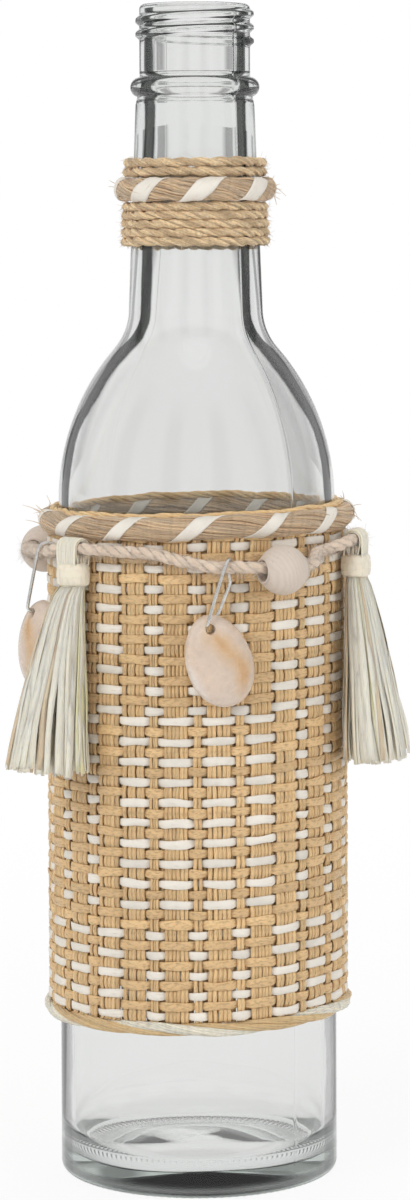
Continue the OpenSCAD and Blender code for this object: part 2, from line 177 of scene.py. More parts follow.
def hairs(rng, roots, away, along, length, spread, points=5):
    """Stray fibres: each leaves its root along its own mix of away and along, and curls in a parabola."""
    count = len(roots)
    heading = unit(away * rng.uniform(0.25, 1, (count, 1)) + along * rng.normal(0, 1, (count, 1)) * spread
                   + rng.normal(0, 0.35, (count, 3)))
    curl = rng.normal(0, 0.45, (count, 3)) - [0, 0, 0.25]
    t = np.linspace(0, 1, points)[:, None]
    size = (length * rng.uniform(0.35, 1, count))[:, None, None]
    return roots[:, None, :] + size * (heading[:, None, :] * t + curl[:, None, :] * t * t)


def at_station(points, station):
    """From a charm's own frame, whose origin is the cord's middle and whose -Y points outward, to its place."""
    phi, out, z = np.radians(station[0]), station[1] * MM, station[2] * MM
    r = sleeve_radius() + out
    x, y = points[..., 0], points[..., 1] - r
    return np.stack([x * np.cos(phi) - y * np.sin(phi), x * np.sin(phi) + y * np.cos(phi), points[..., 2] + z], -1)


def turned(points, degrees, pivot=(0, 0, 0)):
    """The points turned about the Y axis through pivot."""
    a = np.radians(degrees)
    p = points - np.array(pivot)
    spun = np.stack([p[..., 0] * np.cos(a) + p[..., 2] * np.sin(a), p[..., 1],
                     -p[..., 0] * np.sin(a) + p[..., 2] * np.cos(a)], -1)
    return spun + np.array(pivot)


class Form:
    """Grids of points gathered into one mesh, with a UV map and a tint for each strand.

    In a grid the rows follow the strand and the columns go round it. U is the length along the strand in metres
    and V goes from 0 to 1 round it.
    """

    def __init__(self):
        self.points, self.tints, self.corners, self.sizes, self.uvs = [], [], [], [], []
        self.count = 0

    def add(self, points, tint=0.5, closed=False, capped=True, columns_closed=True):
        """Adds grids of the shape (..., rows, columns, 3)."""
        grids = points.reshape((-1,) + points.shape[-3:])
        count, rows, columns = grids.shape[:3]
        base = self.count + np.arange(count)[:, None, None] * rows * columns
        i = np.arange(rows if closed else rows - 1)[None, :, None]
        j = np.arange(columns if columns_closed else columns - 1)[None, None, :]
        middle = grids.mean(2)
        steps = np.linalg.norm(np.diff(middle, axis=1), axis=-1)
        if closed:
            steps = np.concatenate([steps, np.linalg.norm(middle[:, :1] - middle[:, -1:], axis=-1)], 1)
        along = np.concatenate([np.zeros((count, 1)), np.cumsum(steps, 1)], 1)
        quads, maps = [], []
        for di, dj in ((0, 0), (0, 1), (1, 1), (1, 0)):
            quads.append(base + (i + di) % rows * columns + (j + dj) % columns)
            u = np.broadcast_to(along[:, (i + di)[0, :, 0]][:, :, None], quads[-1].shape)
            maps.append(np.stack([u, np.broadcast_to((j + dj) / columns, u.shape)], -1))
        self._faces(np.stack(quads, -1).reshape(-1, 4), np.stack(maps, -2).reshape(-1, 4, 2))
        if capped and not closed:
            ring = base[:, 0] + np.arange(columns)
            for cap, place in ((ring[:, ::-1], along[:, 0]), (ring + (rows - 1) * columns, along[:, -1])):
                uv = np.zeros(cap.shape + (2,))
                uv[..., 0] = place[:, None]
                self._faces(cap, uv)
        self.points.append(grids.reshape(-1, 3))
        tint = np.asarray(tint, float)
        if tint.ndim:
            tint = tint.reshape(tint.shape + (1,) * (3 - tint.ndim))
        self.tints.append(np.broadcast_to(tint, grids.shape[:3]).ravel())
        self.count += count * rows * columns
        return self

    def _faces(self, corners, uvs):
        self.corners.append(corners.ravel())
        self.sizes.append(np.full(len(corners), corners.shape[1]))
        self.uvs.append(uvs.reshape(-1, 2))

    def mesh(self, name):
        mesh = bpy.data.meshes.new(name)
        points, corners = np.concatenate(self.points), np.concatenate(self.corners)
        sizes = np.concatenate(self.sizes)
        mesh.vertices.add(len(points))
        mesh.vertices.foreach_set("co", points.ravel())
        mesh.loops.add(len(corners))
        mesh.loops.foreach_set("vertex_index", corners.astype(np.int32))
        mesh.polygons.add(len(sizes))
        mesh.polygons.foreach_set("loop_start", np.concatenate([[0], np.cumsum(sizes)[:-1]]).astype(np.int32))
        mesh.polygons.foreach_set("use_smooth", np.ones(len(sizes), bool))
        mesh.uv_layers.new(name="UVMap").uv.foreach_set("vector", np.concatenate(self.uvs).ravel())
        mesh.attributes.new("tint", "FLOAT", "POINT").data.foreach_set("value", np.concatenate(self.tints))
        mesh.update(calc_edges=True)
        return mesh


def make_piece(name, form, body, finish, replaces=()):
    """Puts a form into the scene as a piece that rides on a body and stands for the named CAD nodes."""
    mesh = form.mesh(name) if isinstance(form, Form) else form
    piece = bpy.data.objects.new(name, mesh)
    bpy.context.scene.collection.objects.link(piece)
    mesh.materials.append(finish)
    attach(piece, body)
    if replaces:
        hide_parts(*replaces)
    return piece


# Finishes ----------------------------------------------------------------------------------------------


class Value:
    """An output socket, with Python's operators for its maths."""

    def __init__(self, finish, socket):
        self.finish, self.socket = finish, socket

    def __getitem__(self, name):
        return Value(self.finish, self.socket.node.outputs[name])

    def maths(self, operation, *values, clamp=False):
        return self.finish.node("ShaderNodeMath", dict(enumerate(values)), operation=operation, use_clamp=clamp)

    def __add__(self, other):
        return self.maths("ADD", self, other)

    def __sub__(self, other):
        return self.maths("SUBTRACT", self, other)

    def __rsub__(self, other):
        return self.maths("SUBTRACT", other, self)

    def __mul__(self, other):
        return self.maths("MULTIPLY", self, other)

    def __truediv__(self, other):
        return self.maths("DIVIDE", self, other)

    def __pow__(self, other):
        return self.maths("POWER", self, other)

    __radd__, __rmul__ = __add__, __mul__


class Finish:
    """A material made of nodes."""

    def __init__(self, name, tree=None):
        if tree is None:
            self.material = bpy.data.materials.new(name)
            self.material.use_nodes = True
            tree = self.material.node_tree
        self.tree = tree
        tree.nodes.clear()

    def node(self, kind, inputs=None, **settings):
        """Adds a node: its settings first, a ramp's stops among them, then the values or links of its sockets."""
        made = self.tree.nodes.new(kind)
        stops = settings.pop("stops", None)
        for key, value in settings.items():
            setattr(made, key, value)
        if stops:
            elements = made.color_ramp.elements
            while len(elements) > 1:
                elements.remove(elements[0])
            for k, (place, colour) in enumerate(stops):
                element = elements.new(place) if k else elements[0]
                element.position = place
                element.color = (*colour, 1)
        for key, value in (inputs or {}).items():
            if isinstance(value, Value):
                self.tree.links.new(value.socket, made.inputs[key])
            else:
                made.inputs[key].default_value = value
        return Value(self, made.outputs[0]) if made.outputs else None

    def uv(self, along=1.0, round_it=1.0):
        """The piece's UV map with each direction scaled."""
        found = self.node("ShaderNodeUVMap", uv_map="UVMap")
        return self.node("ShaderNodeMapping", {"Vector": found, "Scale": (along, round_it, 1)})

    def place(self, scale=(1, 1, 1), location=(0, 0, 0)):
        """Object coordinates, moved and scaled."""
        found = self.node("ShaderNodeTexCoord")["Object"]
        return self.node("ShaderNodeMapping", {"Vector": found, "Location": location, "Scale": scale})

    def tint(self):
        """The strand's own random value."""
        return self.node("ShaderNodeAttribute", attribute_name="tint")["Fac"]

    def noise(self, vector, scale, detail=3.0, roughness=0.55, distortion=0.0):
        return self.node("ShaderNodeTexNoise", {"Vector": vector, "Scale": scale, "Detail": detail,
                                                "Roughness": roughness, "Distortion": distortion})

    def spread(self, value, low, high, to_low=0.0, to_high=1.0):
        """Stretches low..high to to_low..to_high and holds it there."""
        return self.node("ShaderNodeMapRange", {"Value": value, "From Min": low, "From Max": high,
                                                "To Min": to_low, "To Max": to_high})

    def ramp(self, value, stops):
        return self.node("ShaderNodeValToRGB", {"Fac": value}, stops=stops)

    def mix(self, factor, one, other, blend="MIX"):
        colours = {0: factor}
        for key, colour in ((6, one), (7, other)):
            colours[key] = colour if isinstance(colour, Value) else (*colour[:3], 1)
        made = self.node("ShaderNodeMix", colours, data_type="RGBA", blend_type=blend)
        return Value(self, made.socket.node.outputs[2])

    def bump(self, height, distance, strength=1.0, normal=None):
        inputs = {"Height": height, "Distance": distance, "Strength": strength}
        if normal:
            inputs["Normal"] = normal
        return self.node("ShaderNodeBump", inputs)

    def surface(self, **inputs):
        """Joins a Principled shader to the output. Each input is named as its socket, with _ for a space."""
        named = {key.replace("_", " "): value for key, value in inputs.items()}
        for key, value in named.items():
            if not isinstance(value, Value) and isinstance(value, (tuple, list)) and len(value) == 3:
                named[key] = (*value, 1) if "Color" in key or "Tint" in key else value
        shader = self.node("ShaderNodeBsdfPrincipled", named)
        self.node("ShaderNodeOutputMaterial", {"Surface": shader})
        return self.material


def shade(colour, factor):
    """A colour made lighter or darker."""
    return tuple(min(1, c * factor) for c in colour[:3])


def fibre_finish(name, colours, streaks=(60, 10), depth=0.12 * MM, rough=0.62, speck=0.2, sheen=0.15, coat=0.0):
    """Plant fibre: the strand's tint picks its colour, and fine streaks run along it with a bump of their own."""
    f = Finish(name)
    tint = f.tint()
    fine = f.noise(f.uv(streaks[0] * 2, streaks[1]), 2.5, 4)
    broad = f.noise(f.uv(streaks[0], streaks[1] * 0.35), 1.0, 3)
    mottle = f.noise(f.place((1, 1, 1)), 260, 2)
    stops = [(k / (len(colours) - 1), tuple(c)) for k, c in enumerate(colours)]
    base = f.ramp(f.spread(tint + (broad - 0.5) * 0.55 + (mottle - 0.5) * 0.3, 0, 1), stops)
    dark = f.mix(1.0, base, shade((1, 1, 1), 1 - speck * 2.2), "MULTIPLY")
    base = f.mix(f.spread(fine, 0.52, 0.30), base, dark)
    normal = f.bump(fine, depth, 0.7, f.bump(broad, depth * 2, 0.6))
    rough = f.spread(fine, 0.3, 0.7, rough + 0.1, rough - 0.08)
    return f.surface(Base_Color=base, Roughness=rough, Normal=normal, Sheen_Weight=sheen, Coat_Weight=coat,
                     Coat_Roughness=0.35, Subsurface_Weight=0.4, Subsurface_Radius=(1.0, 0.7, 0.45),
                     Subsurface_Scale=0.9 * MM)


# The bottle ---------------------------------------------------------------------------------------------


def settings():
    return bpy.context.scene.charm_bottle


def sleeve_radius():
    """Outer radius of the sleeve."""
    s = settings()
    return s.body_diameter / 2 + 0.25 * MM + s.warp_thickness + s.weft_thickness


def neck_marks():
    """Centres of the shoulder's arc and of the hollow arc above it, and the angle at which they touch."""
    s = settings()
    shoulder = (s.body_diameter / 2 - s.shoulder_radius, s.shoulder_start)
    x = s.neck_low_diameter / 2 + s.fillet_radius
    reach = s.shoulder_radius + s.fillet_radius
    fillet = (x, s.shoulder_start + math.sqrt(reach ** 2 - (x - shoulder[0]) ** 2))
    return shoulder, fillet, math.degrees(math.atan2(fillet[1] - shoulder[1], fillet[0] - shoulder[0]))


def neck_radius(z):
    """Outer radius of the neck: a straight taper, and below it the hollow arc."""
    s = settings()
    _, fillet, _ = neck_marks()
    top = s.height - 19.4 * MM - 2.35 * MM - 1.8 * MM
    t = (z - fillet[1]) / (top - fillet[1])
    taper = (s.neck_low_diameter + (s.neck_top_diameter - s.neck_low_diameter) * t) / 2
    hollow = fillet[0] - np.sqrt(np.maximum(s.fillet_radius ** 2 - (fillet[1] - z) ** 2, 0))
    return np.where(z > fillet[1], taper, hollow)


def thread_height(theta, z):
    """How far the helical thread stands out: its crest rises one pitch in each turn and fades at both ends."""
    s = settings()
    runout = 35 / 360
    start = s.height - 2.3 * MM - s.thread_pitch * (2 + runout)
    found = np.zeros(np.broadcast(theta, z).shape)
    for lap in range(-1, 4):
        turn = theta / TURN + lap
        fade = smooth(np.minimum((turn + runout) / runout, (2 + runout - turn) / runout))
        off = np.abs(z - start - s.thread_pitch * (turn + runout))
        found = np.maximum(found, fade * smooth(1 - (off - 0.3 * MM) / (1.05 * MM)))
    return s.thread_height * found


class BOTTLE_OT_glass(bpy.types.Operator):
    """Makes the glass bottle with its screw finish, mould seams and knurled resting ring"""

    bl_idname = "charm_bottle.glass"
    bl_label = "Glass bottle"

    def outline(self):
        """The outer outline from the middle of the base up to the mouth, and the inner one down to the floor."""
        s = settings()
        shoulder, fillet, touch = neck_marks()
        body, wall = s.body_diameter / 2, s.wall
        rest, punt, heel, bore = 25 * MM, 3.5 * MM, 2 * MM, s.bore_diameter / 2
        collar = (s.collar_diameter / 2 - 2.35 * MM, s.height - 19.4 * MM)
        finish = s.finish_diameter / 2
        neck_top = (s.neck_top_diameter / 2, collar[1] - 4.15 * MM)
        dome = np.linspace(0.02, 1, 9)
        under = np.stack([rest * dome, punt * (1 - dome ** 2)], -1)
        outer = np.concatenate([
            under,
            line((rest, 0), (body - heel, 0), 8),
            arc((body - heel, heel), heel, -90, 0, 12),
            line((body, heel), (body, s.shoulder_start), 5),
            arc(shoulder, s.shoulder_radius, 0, touch, 20),
            arc(fillet, s.fillet_radius, touch + 180, 180, 10)[1:],
            line((s.neck_low_diameter / 2, fillet[1]), neck_top, 5),
            [neck_top],
            arc(collar, 2.35 * MM, -71.4, 85.1, 14),
            line((finish, collar[1] + 2.34 * MM), (finish, s.height - 11.2 * MM), 3),
            line((finish, s.height - 11.2 * MM), (finish, s.height - 1.2 * MM), 50),
            arc((finish - 1.2 * MM, s.height - 1.2 * MM), 1.2 * MM, 0, 90, 6),
        ])
        floor, corner, rise = 4.5 * MM, 8 * MM, 2.1 * MM
        flat = body - wall - corner
        inner = np.concatenate([
            arc((bore + 0.8 * MM, s.height - 0.8 * MM), 0.8 * MM, 90, 180, 5),
            line((bore, s.height - 0.8 * MM), (bore, s.height - 40 * MM), 5),
            line((bore, s.height - 40 * MM), (fillet[0] - s.fillet_radius - wall, fillet[1]), 6),
            arc(fillet, s.fillet_radius + wall, 180, touch + 180, 9),
            arc(shoulder, s.shoulder_radius - wall, touch, 0, 16)[1:],
            line((body - wall, s.shoulder_start), (body - wall, floor + corner), 10),
            arc((flat, floor + corner), corner, 0, -90, 9),
            np.stack([flat * dome[::-1], floor + rise * (1 - dome[::-1] ** 2)], -1)[1:],
        ])
        return outer, inner

    def execute(self, context):
        s = settings()
        outer, inner = self.outline()
        seams = np.radians([s.seam_angle, s.seam_angle - 180])
        close = np.radians([-0.75, -0.5, -0.25, 0, 0.25, 0.5, 0.75])
        even = np.arange(450) * TURN / 450
        gap = np.abs((even[:, None] - seams + np.pi) % TURN - np.pi).min(1)
        phi = np.sort(np.concatenate([even[gap > np.radians(1.1)], (seams[:, None] + close).ravel() % TURN]))

        r, z = outer[:, :1] + 0 * phi, outer[:, 1:] + 0 * phi
        wall_part = smooth((z - 2 * MM) / (4 * MM)) * smooth((s.height - 2 * MM - z) / (2 * MM))
        off = np.abs((phi[:, None] - seams + np.pi) % TURN - np.pi) * s.body_diameter / 2
        r = r + MM * (np.exp(-(off / (0.22 * MM)) ** 2) * [0.13, 0.05]).sum(1) * wall_part
        r = r + thread_height((phi - np.pi / 2) % TURN, z) * (z > s.height - 12.4 * MM)
        knurl = np.exp(-((r - 29.3 * MM) / (1.5 * MM)) ** 4) * smooth((1 * MM - z) / (0.8 * MM))
        z = z + 0.42 * MM * (0.5 - 0.5 * np.cos(112 * phi)) * knurl

        ri, zi = inner[:, :1] + 0 * phi, inner[:, 1:] + 0 * phi
        depth = smooth((s.height - 30 * MM - zi) / (20 * MM)) * smooth((zi - 12 * MM) / (14 * MM))
        uneven = sum(a * np.sin(k * phi + q + zi / (h * MM)) for a, k, q, h in
                     ((0.20, 1, 0.7, 90), (0.13, 2, 2.0, 60), (0.08, 3, 4.1, 45), (0.05, 5, 1.3, 33)))
        ri = ri + uneven * MM * depth
        zi = zi + 0.35 * MM * np.sin(3 * phi + 1) * (zi < 6.7 * MM) * (ri / (20 * MM)).clip(0, 1)

        grid = np.concatenate([around(phi, r, z), around(phi, ri, zi)])
        # The outer rows' tint holds the Facing at which the painted shade band falls; the inner rows get -1, no band.
        form = Form().add(grid, tint=np.concatenate([self.edge(outer), np.full(len(inner), -1.0)])[None])
        make_piece("bottle_glass", form, "bottle", self.finish(), ("glass_bottle",))
        return {"FINISHED"}

    def edge(self, outer):
        """Layer Weight's Facing, row by row, in the middle of a near-black band of painted shade near the glass's
        outline, where thick glass looks dark.

        The band's distance from the axis is a share of the radius. The wall's tilt takes part in Facing. A value
        of -1 means no band.
        """
        r, z = outer.T / MM
        share = np.interp(r, (12.9, 13.9, 15.7, 19, 26, 30, 32.3), (0.84, 0.775, 0.755, 0.85, 0.90, 0.95, 0.957))
        dr, dz = np.gradient(r), np.gradient(z)
        level = np.abs(dz) / np.hypot(dr, dz)
        found = 1 - level * np.sqrt(1 - share ** 2)
        return np.where((z < 2) | (z > settings().height / MM - 1.2), -1.0, found)

    def finish(self):
        """Clear glass with a trace of green and a faint ripple. Its dark outline is painted shade, a near-black band
        in the base colour, and a grey patch of painted shade lies next to the seam. Lamps shine through it.
        """
        f = Finish("glass")
        s = settings()
        ripple = f.noise(f.place((1, 1, 0.35)), 55, 1.5, 0.4)
        facing = f.node("ShaderNodeLayerWeight", {"Blend": 0.5})["Facing"]
        wobble = (f.noise(f.place((1, 1, 0.5)), 110, 3) - 0.5) * 0.22
        split = f.node("ShaderNodeSeparateXYZ", {"Vector": f.place()})
        # Painted shade: a near-black band mixed into the base colour where Facing comes near the tint, fading near the
        # bottom.
        off = (facing / f.tint() - 1 + wobble) * f.spread(split["Z"], 0.17, 0.205, 1.75, 0.85)
        band = f.spread(off.maths("ABSOLUTE", off), 0.27, 0.20) * f.spread(split["Z"], 0.035, 0.07, 0.5, 1)
        # Painted shade: a grey patch mixed into the glass over about 20 degrees past the seam, between 150 and 205 mm
        # up.
        turn = split["X"].maths("ARCTAN2", split["X"], split["Y"] * -1)
        seam = math.radians(s.seam_angle)
        painted_seam_shade = f.spread(turn, seam, seam + 0.02) * f.spread(turn, seam + 0.36, seam + 0.26)
        painted_seam_shade = painted_seam_shade * f.spread(split["Z"], 0.15, 0.155) * f.spread(split["Z"], 0.205, 0.185) * 0.35
        clear = f.mix(painted_seam_shade, tuple(s.glass_colour), (0.2, 0.2, 0.2))
        # Base Color carries the painted shade: the dark band and the grey patch by the seam.
        shader = f.node("ShaderNodeBsdfPrincipled", {
            "Base Color": f.mix(band, clear, (0.008, 0.009, 0.008)), "IOR": 1.5,
            "Roughness": f.spread(split["Z"], 0.0016, 0.0006, 0, 0.45), "Transmission Weight": 1.0, "Normal": f.bump(ripple, 0.25 * MM, 0.35)})
        lamps = f.node("ShaderNodeLightPath")["Is Shadow Ray"]
        through = f.node("ShaderNodeBsdfTransparent", {"Color": (1, 1, 1, 1)})
        mixed = f.node("ShaderNodeMixShader", {0: lamps, 1: shader, 2: through})
        depth = f.node("ShaderNodeVolumeAbsorption", {"Color": (0.66, 0.72, 0.69, 1), "Density": 28.0})
        f.node("ShaderNodeOutputMaterial", {"Surface": mixed, "Volume": depth})
        return f.material


# The neck -----------------------------------------------------------------------------------------------


def neck_levels():
    """Heights of the neck's bindings from the top down: upper twine, rope ring, lower twine."""
    s = settings()
    upper = s.height - 35.7 * MM
    rope = upper - 2 * s.twine_pitch - 0.75 * MM - 0.2 * MM - s.neck_rope_height / 2
    return upper, rope, rope - s.neck_rope_height / 2 - 0.95 * MM


class BOTTLE_OT_twine(bpy.types.Operator):
    """Winds jute twine round the neck above and below the rope ring"""

    bl_idname = "charm_bottle.twine"
    bl_label = "Neck twine"

    def wind(self, form, fuzz, rng, top, turns, pitch):
        """Level turns side by side, of two loosely twisted plies, that step down at the back."""
        s = settings()
        radius = s.twine_diameter / 2
        t = np.linspace(0.004, turns - 0.004, turns * 130)
        level = np.minimum(np.floor(t) + smooth((t % 1 - 0.88) / 0.12), turns - 1)
        z = top - pitch * level + wander(t * TURN, rng, 0.09 * MM, (1, 2.3, 3.7, 6.1))
        phi = np.pi * 1.06 + TURN * t
        tuck = smooth(np.minimum(t, turns - t) / 0.03)
        out = neck_radius(z) + 0.1 * MM + radius * tuck + wander(phi, rng, 0.07 * MM, (1.3, 2.9, 7.3))
        path = around(phi, out, z)
        outward = around(phi, 1, 0)
        for ply in plies(path, outward, 2, radius * 0.34, 9 * MM):
            strands = plies(ply, outward, 5, radius * 0.36, 14 * MM, rng.uniform(0, TURN))
            size = radius * 0.36 * (1 + wander(t * TURN, rng, 0.16, (2.7, 5.1, 9.3, 17), (5,))) * (0.3 + 0.7 * tuck)
            form.add(tube(strands, outward, size, size, 5), tint=rng.uniform(0.1, 0.95, 5))
        tangent, normal, side = frames(path, outward)
        for count, length in ((turns * 260, 1.2 * MM), (turns * 16, 2.6 * MM)):
            pick = rng.integers(4, len(path) - 4, count)
            a = rng.uniform(-1.5, 1.5, count)[:, None]
            away = np.cos(a) * normal[pick] + np.sin(a) * side[pick]
            strays = hairs(rng, path[pick] + away * radius * 0.85, away, tangent[pick], length, 1.5)
            thin = np.linspace(0.055, 0.02, strays.shape[1]) * MM
            fuzz.add(tube(strays, (0.3, 0.2, 1), thin, thin, 3), tint=rng.uniform(0, 1, count))

    def execute(self, context):
        s = settings()
        upper, rope, _ = neck_levels()
        under = rope - s.neck_rope_height / 2
        rng = np.random.default_rng(11)
        c = s.jute_colour
        jute = fibre_finish("jute", [shade(c, 0.62), shade(c, 0.95), shade(c, 1.28)], (260, 5), 0.1 * MM, 0.8, 0.25)
        fuzz = Form()
        rows = (("upper", upper - 1.3 * MM, 2, 2.2 * MM), ("lower", under - 1.25 * MM, 5, 2.02 * MM))
        for name, top, turns, pitch in rows:
            form = Form()
            self.wind(form, fuzz, rng, top, turns, pitch)
            make_piece(f"twine_{name}", form, "bottle", jute, (f"neck_twine_{name}",))
        make_piece("twine_fibres", fuzz, "bottle", jute)
        return {"FINISHED"}


def rope_ring(rng, radius, height, half_t, half_h, strips, first, strip_w, slope=0.1 * MM):
    """A bundle of fibres bent into a ring and bound by a paper strip that winds round it.

    A point of the ring is given by phi and the section's angle a: distance radius + half_t cos(a) from the axis
    and height + half_h sin(a). The strip's angle a grows strips times as fast as phi. Where the strip passes the
    bundle is drawn in, and between its passes it swells.
    """
    girth = math.sqrt(half_t * half_h)
    rise = math.atan(strips * girth / radius)

    def place(phi, a, swell):
        sag = slope * (np.sin(4 * phi + 1) + 0.7 * np.sin(9 * phi) + 0.5 * np.sin(17 * phi + 2))
        return around(phi, radius + half_t * swell * np.cos(a), height + sag + half_h * swell * np.sin(a))

    def swell_at(phi, a):
        off = (a - strips * phi - first + np.pi) % TURN - np.pi
        near = np.exp(-(off * girth * math.cos(rise) / (strip_w * 0.62)) ** 2)
        bulge = np.sin(5 * phi + 3 * a) + 0.9 * np.sin(11 * phi - 2 * a) + 0.8 * np.sin(23 * phi + a + 1)
        return 1.0 - 0.10 * near + 0.036 * bulge

    bundle = Form()
    phi = np.linspace(0, TURN, 420, endpoint=False)[:, None]
    a = np.arange(24)[None, :] * TURN / 24
    bundle.add(place(phi, a, swell_at(phi, a) * 0.9), tint=0.15, closed=True)
    count = 34
    phi = np.linspace(0, TURN, 360, endpoint=False)
    a = np.arange(count)[:, None] * TURN / count + rng.normal(0, 0.06, (count, 1)) - 2 * phi
    a = a + wander(phi, rng, 0.10, (3, 5, 8, 13), (count,))
    lift = 0.93 + wander(phi, rng, 0.02, (4, 7, 11), (count,)) + rng.uniform(-0.015, 0.03, (count, 1))
    paths = place(phi, a, swell_at(phi, a) * lift)
    up = around(phi, np.cos(a), np.sin(a))
    wide = rng.uniform(0.32, 0.52, (count, 1)) * MM * (1 + wander(phi, rng, 0.15, (6, 9, 15), (count,)))
    bundle.add(tube(paths, up, 0.16 * MM, wide, 5, closed=True, turn=wander(phi, rng, 0.2, (4, 9), (count,))),
               tint=rng.uniform(0.2, 1, count), closed=True)

    strip = Form()
    t = np.linspace(0, TURN, strips * 22, endpoint=False)[:, None]
    w = strip_w / 2 * np.concatenate([np.linspace(-1, 1, 8), np.linspace(1, -1, 8)])[None, :]
    lift = np.concatenate([np.full(8, 0.16), np.full(8, 0.02)])[None, :] * MM / girth
    lift = lift - 0.02 * np.abs(w / strip_w * 2) ** 3
    w = w * (1 + 0.08 * np.sin(7 * t + 1))
    along = t - w * math.sin(rise) / radius
    a = strips * t + first + w * math.cos(rise) / girth
    crumple = 0.012 * np.sin(23 * t + 40 * w / strip_w) + 0.012 * np.sin(61 * t + 1)
    strip.add(place(along, a, swell_at(along, a) + 0.03 + lift + crumple)[:, ::-1], tint=0.5, closed=True)
    return bundle, strip


class BOTTLE_OT_ropes(bpy.types.Operator):
    """Makes the two rope rings of peach raffia and white paper, on the neck and on the sleeve's upper rim"""

    bl_idname = "charm_bottle.ropes"
    bl_label = "Rope rings"

    def frays(self, rng, radius, height, half, places, count, length):
        """Stray ends of raffia that stand out of a rope near the given angles."""
        phi = np.radians(rng.choice(places, count) + rng.normal(0, 7, count))
        a = rng.uniform(-0.6, 1.9, count)
        away = around(phi, np.cos(a), np.sin(a))
        roots = around(phi, radius + half * 0.85 * np.cos(a), height + half * 0.85 * np.sin(a))
        strays = hairs(rng, roots, away, np.cross(away, (0, 0, 1)), length, 1.4, 7)
        thin = np.linspace(0.11, 0.04, 7) * MM
        return tube(strays, (0.1, 0.2, 1), thin, thin * 1.5, 4)

    def execute(self, context):
        s = settings()
        c = s.peach_colour
        peach = fibre_finish("peach_raffia", [shade(c, 0.72), shade(c, 0.95), shade(c, 1.12), shade(c, 1.25)],
                             (190, 6), 0.09 * MM, 0.6, 0.22)
        paper = paper_finish()
        rng = np.random.default_rng(21)
        _, neck_z, _ = neck_levels()
        inner = float(neck_radius(np.array(neck_z - s.neck_rope_height / 2))) + 0.15 * MM
        half = s.neck_rope_thickness / 2
        rope, strip = rope_ring(rng, inner + half, neck_z, half, s.neck_rope_height / 2, 8, s.neck_strip_phase,
                                3.7 * MM)
        rope.add(self.frays(rng, inner + half, neck_z, half, (-100, 95, 105, 180), 26, 2.6 * MM), tint=0.6)
        make_piece("neck_rope_raffia", rope, "bottle", peach, ("neck_rope",))
        make_piece("neck_rope_strip", strip, "bottle", paper)

        half = s.top_rope_thickness / 2
        radius = s.body_diameter / 2 + 0.3 * MM + half
        height = s.sleeve_high + 0.1 * MM + s.top_rope_height / 2
        rope, strip = rope_ring(rng, radius, height, half, s.top_rope_height / 2, 13, s.top_strip_phase,
                                2.9 * MM, 0.16 * MM)
        rope.add(self.frays(rng, radius, height, half, (-95, -85, 88, 100, 170), 44, 3 * MM), tint=0.7)
        for form in (rope, strip):
            form.points = [lean(p, s.sleeve_slope) for p in form.points]
        make_piece("top_rope_raffia", rope, "bottle", peach, ("sleeve_top_rope",))
        make_piece("top_rope_strip", strip, "bottle", paper)
        return {"FINISHED"}


def paper_finish():
    """Matt white paper strip with fine creases along it and a few warmer patches."""
    f = Finish("white_paper")
    c = settings().paper_colour
    crease = f.noise(f.uv(120, 9), 2.2, 4)
    patch = f.noise(f.place(), 190, 3)
    base = f.ramp(f.spread(patch + (f.tint() - 0.5) * 0.5, 0.25, 0.75),
                  [(0, shade(c, 0.88)), (0.5, shade(c, 1)), (1, shade(c, 1.06))])
    base = f.mix(f.spread(crease, 0.42, 0.25), base, shade((c[0], c[1] * 0.95, c[2] * 0.86), 0.8))
    return f.surface(Base_Color=base, Roughness=f.spread(crease, 0.3, 0.7, 0.75, 0.55),
                     Normal=f.bump(crease, 0.08 * MM, 0.7), Sheen_Weight=0.1)


# The sleeve ---------------------------------------------------------------------------------------------


def columns():
    """Angle and half width, in radians, of the sleeve's columns in order round it."""
    starts = np.arange(BLOCKS) * 360 / BLOCKS
    places = (starts[:, None] + COLUMN_PLACES).ravel()
    return np.radians(places), np.radians(np.tile(COLUMN_HALVES, BLOCKS))


def row_heights():
    """Height of the middle of each cross row, from the top down."""
    s = settings()
    first = s.sleeve_high - 0.65 * MM - 0.95 * MM
    count = 47
    return first - s.weft_pitch * np.arange(count)


def row_is_white(i):
    """White paper lies in the even rows of the upper and lower part and in the odd rows between."""
    i = np.asarray(i)
    return np.where((i <= 16) | (i > 37), i % 2 == 0, (i < 36) & (i % 2 == 1))


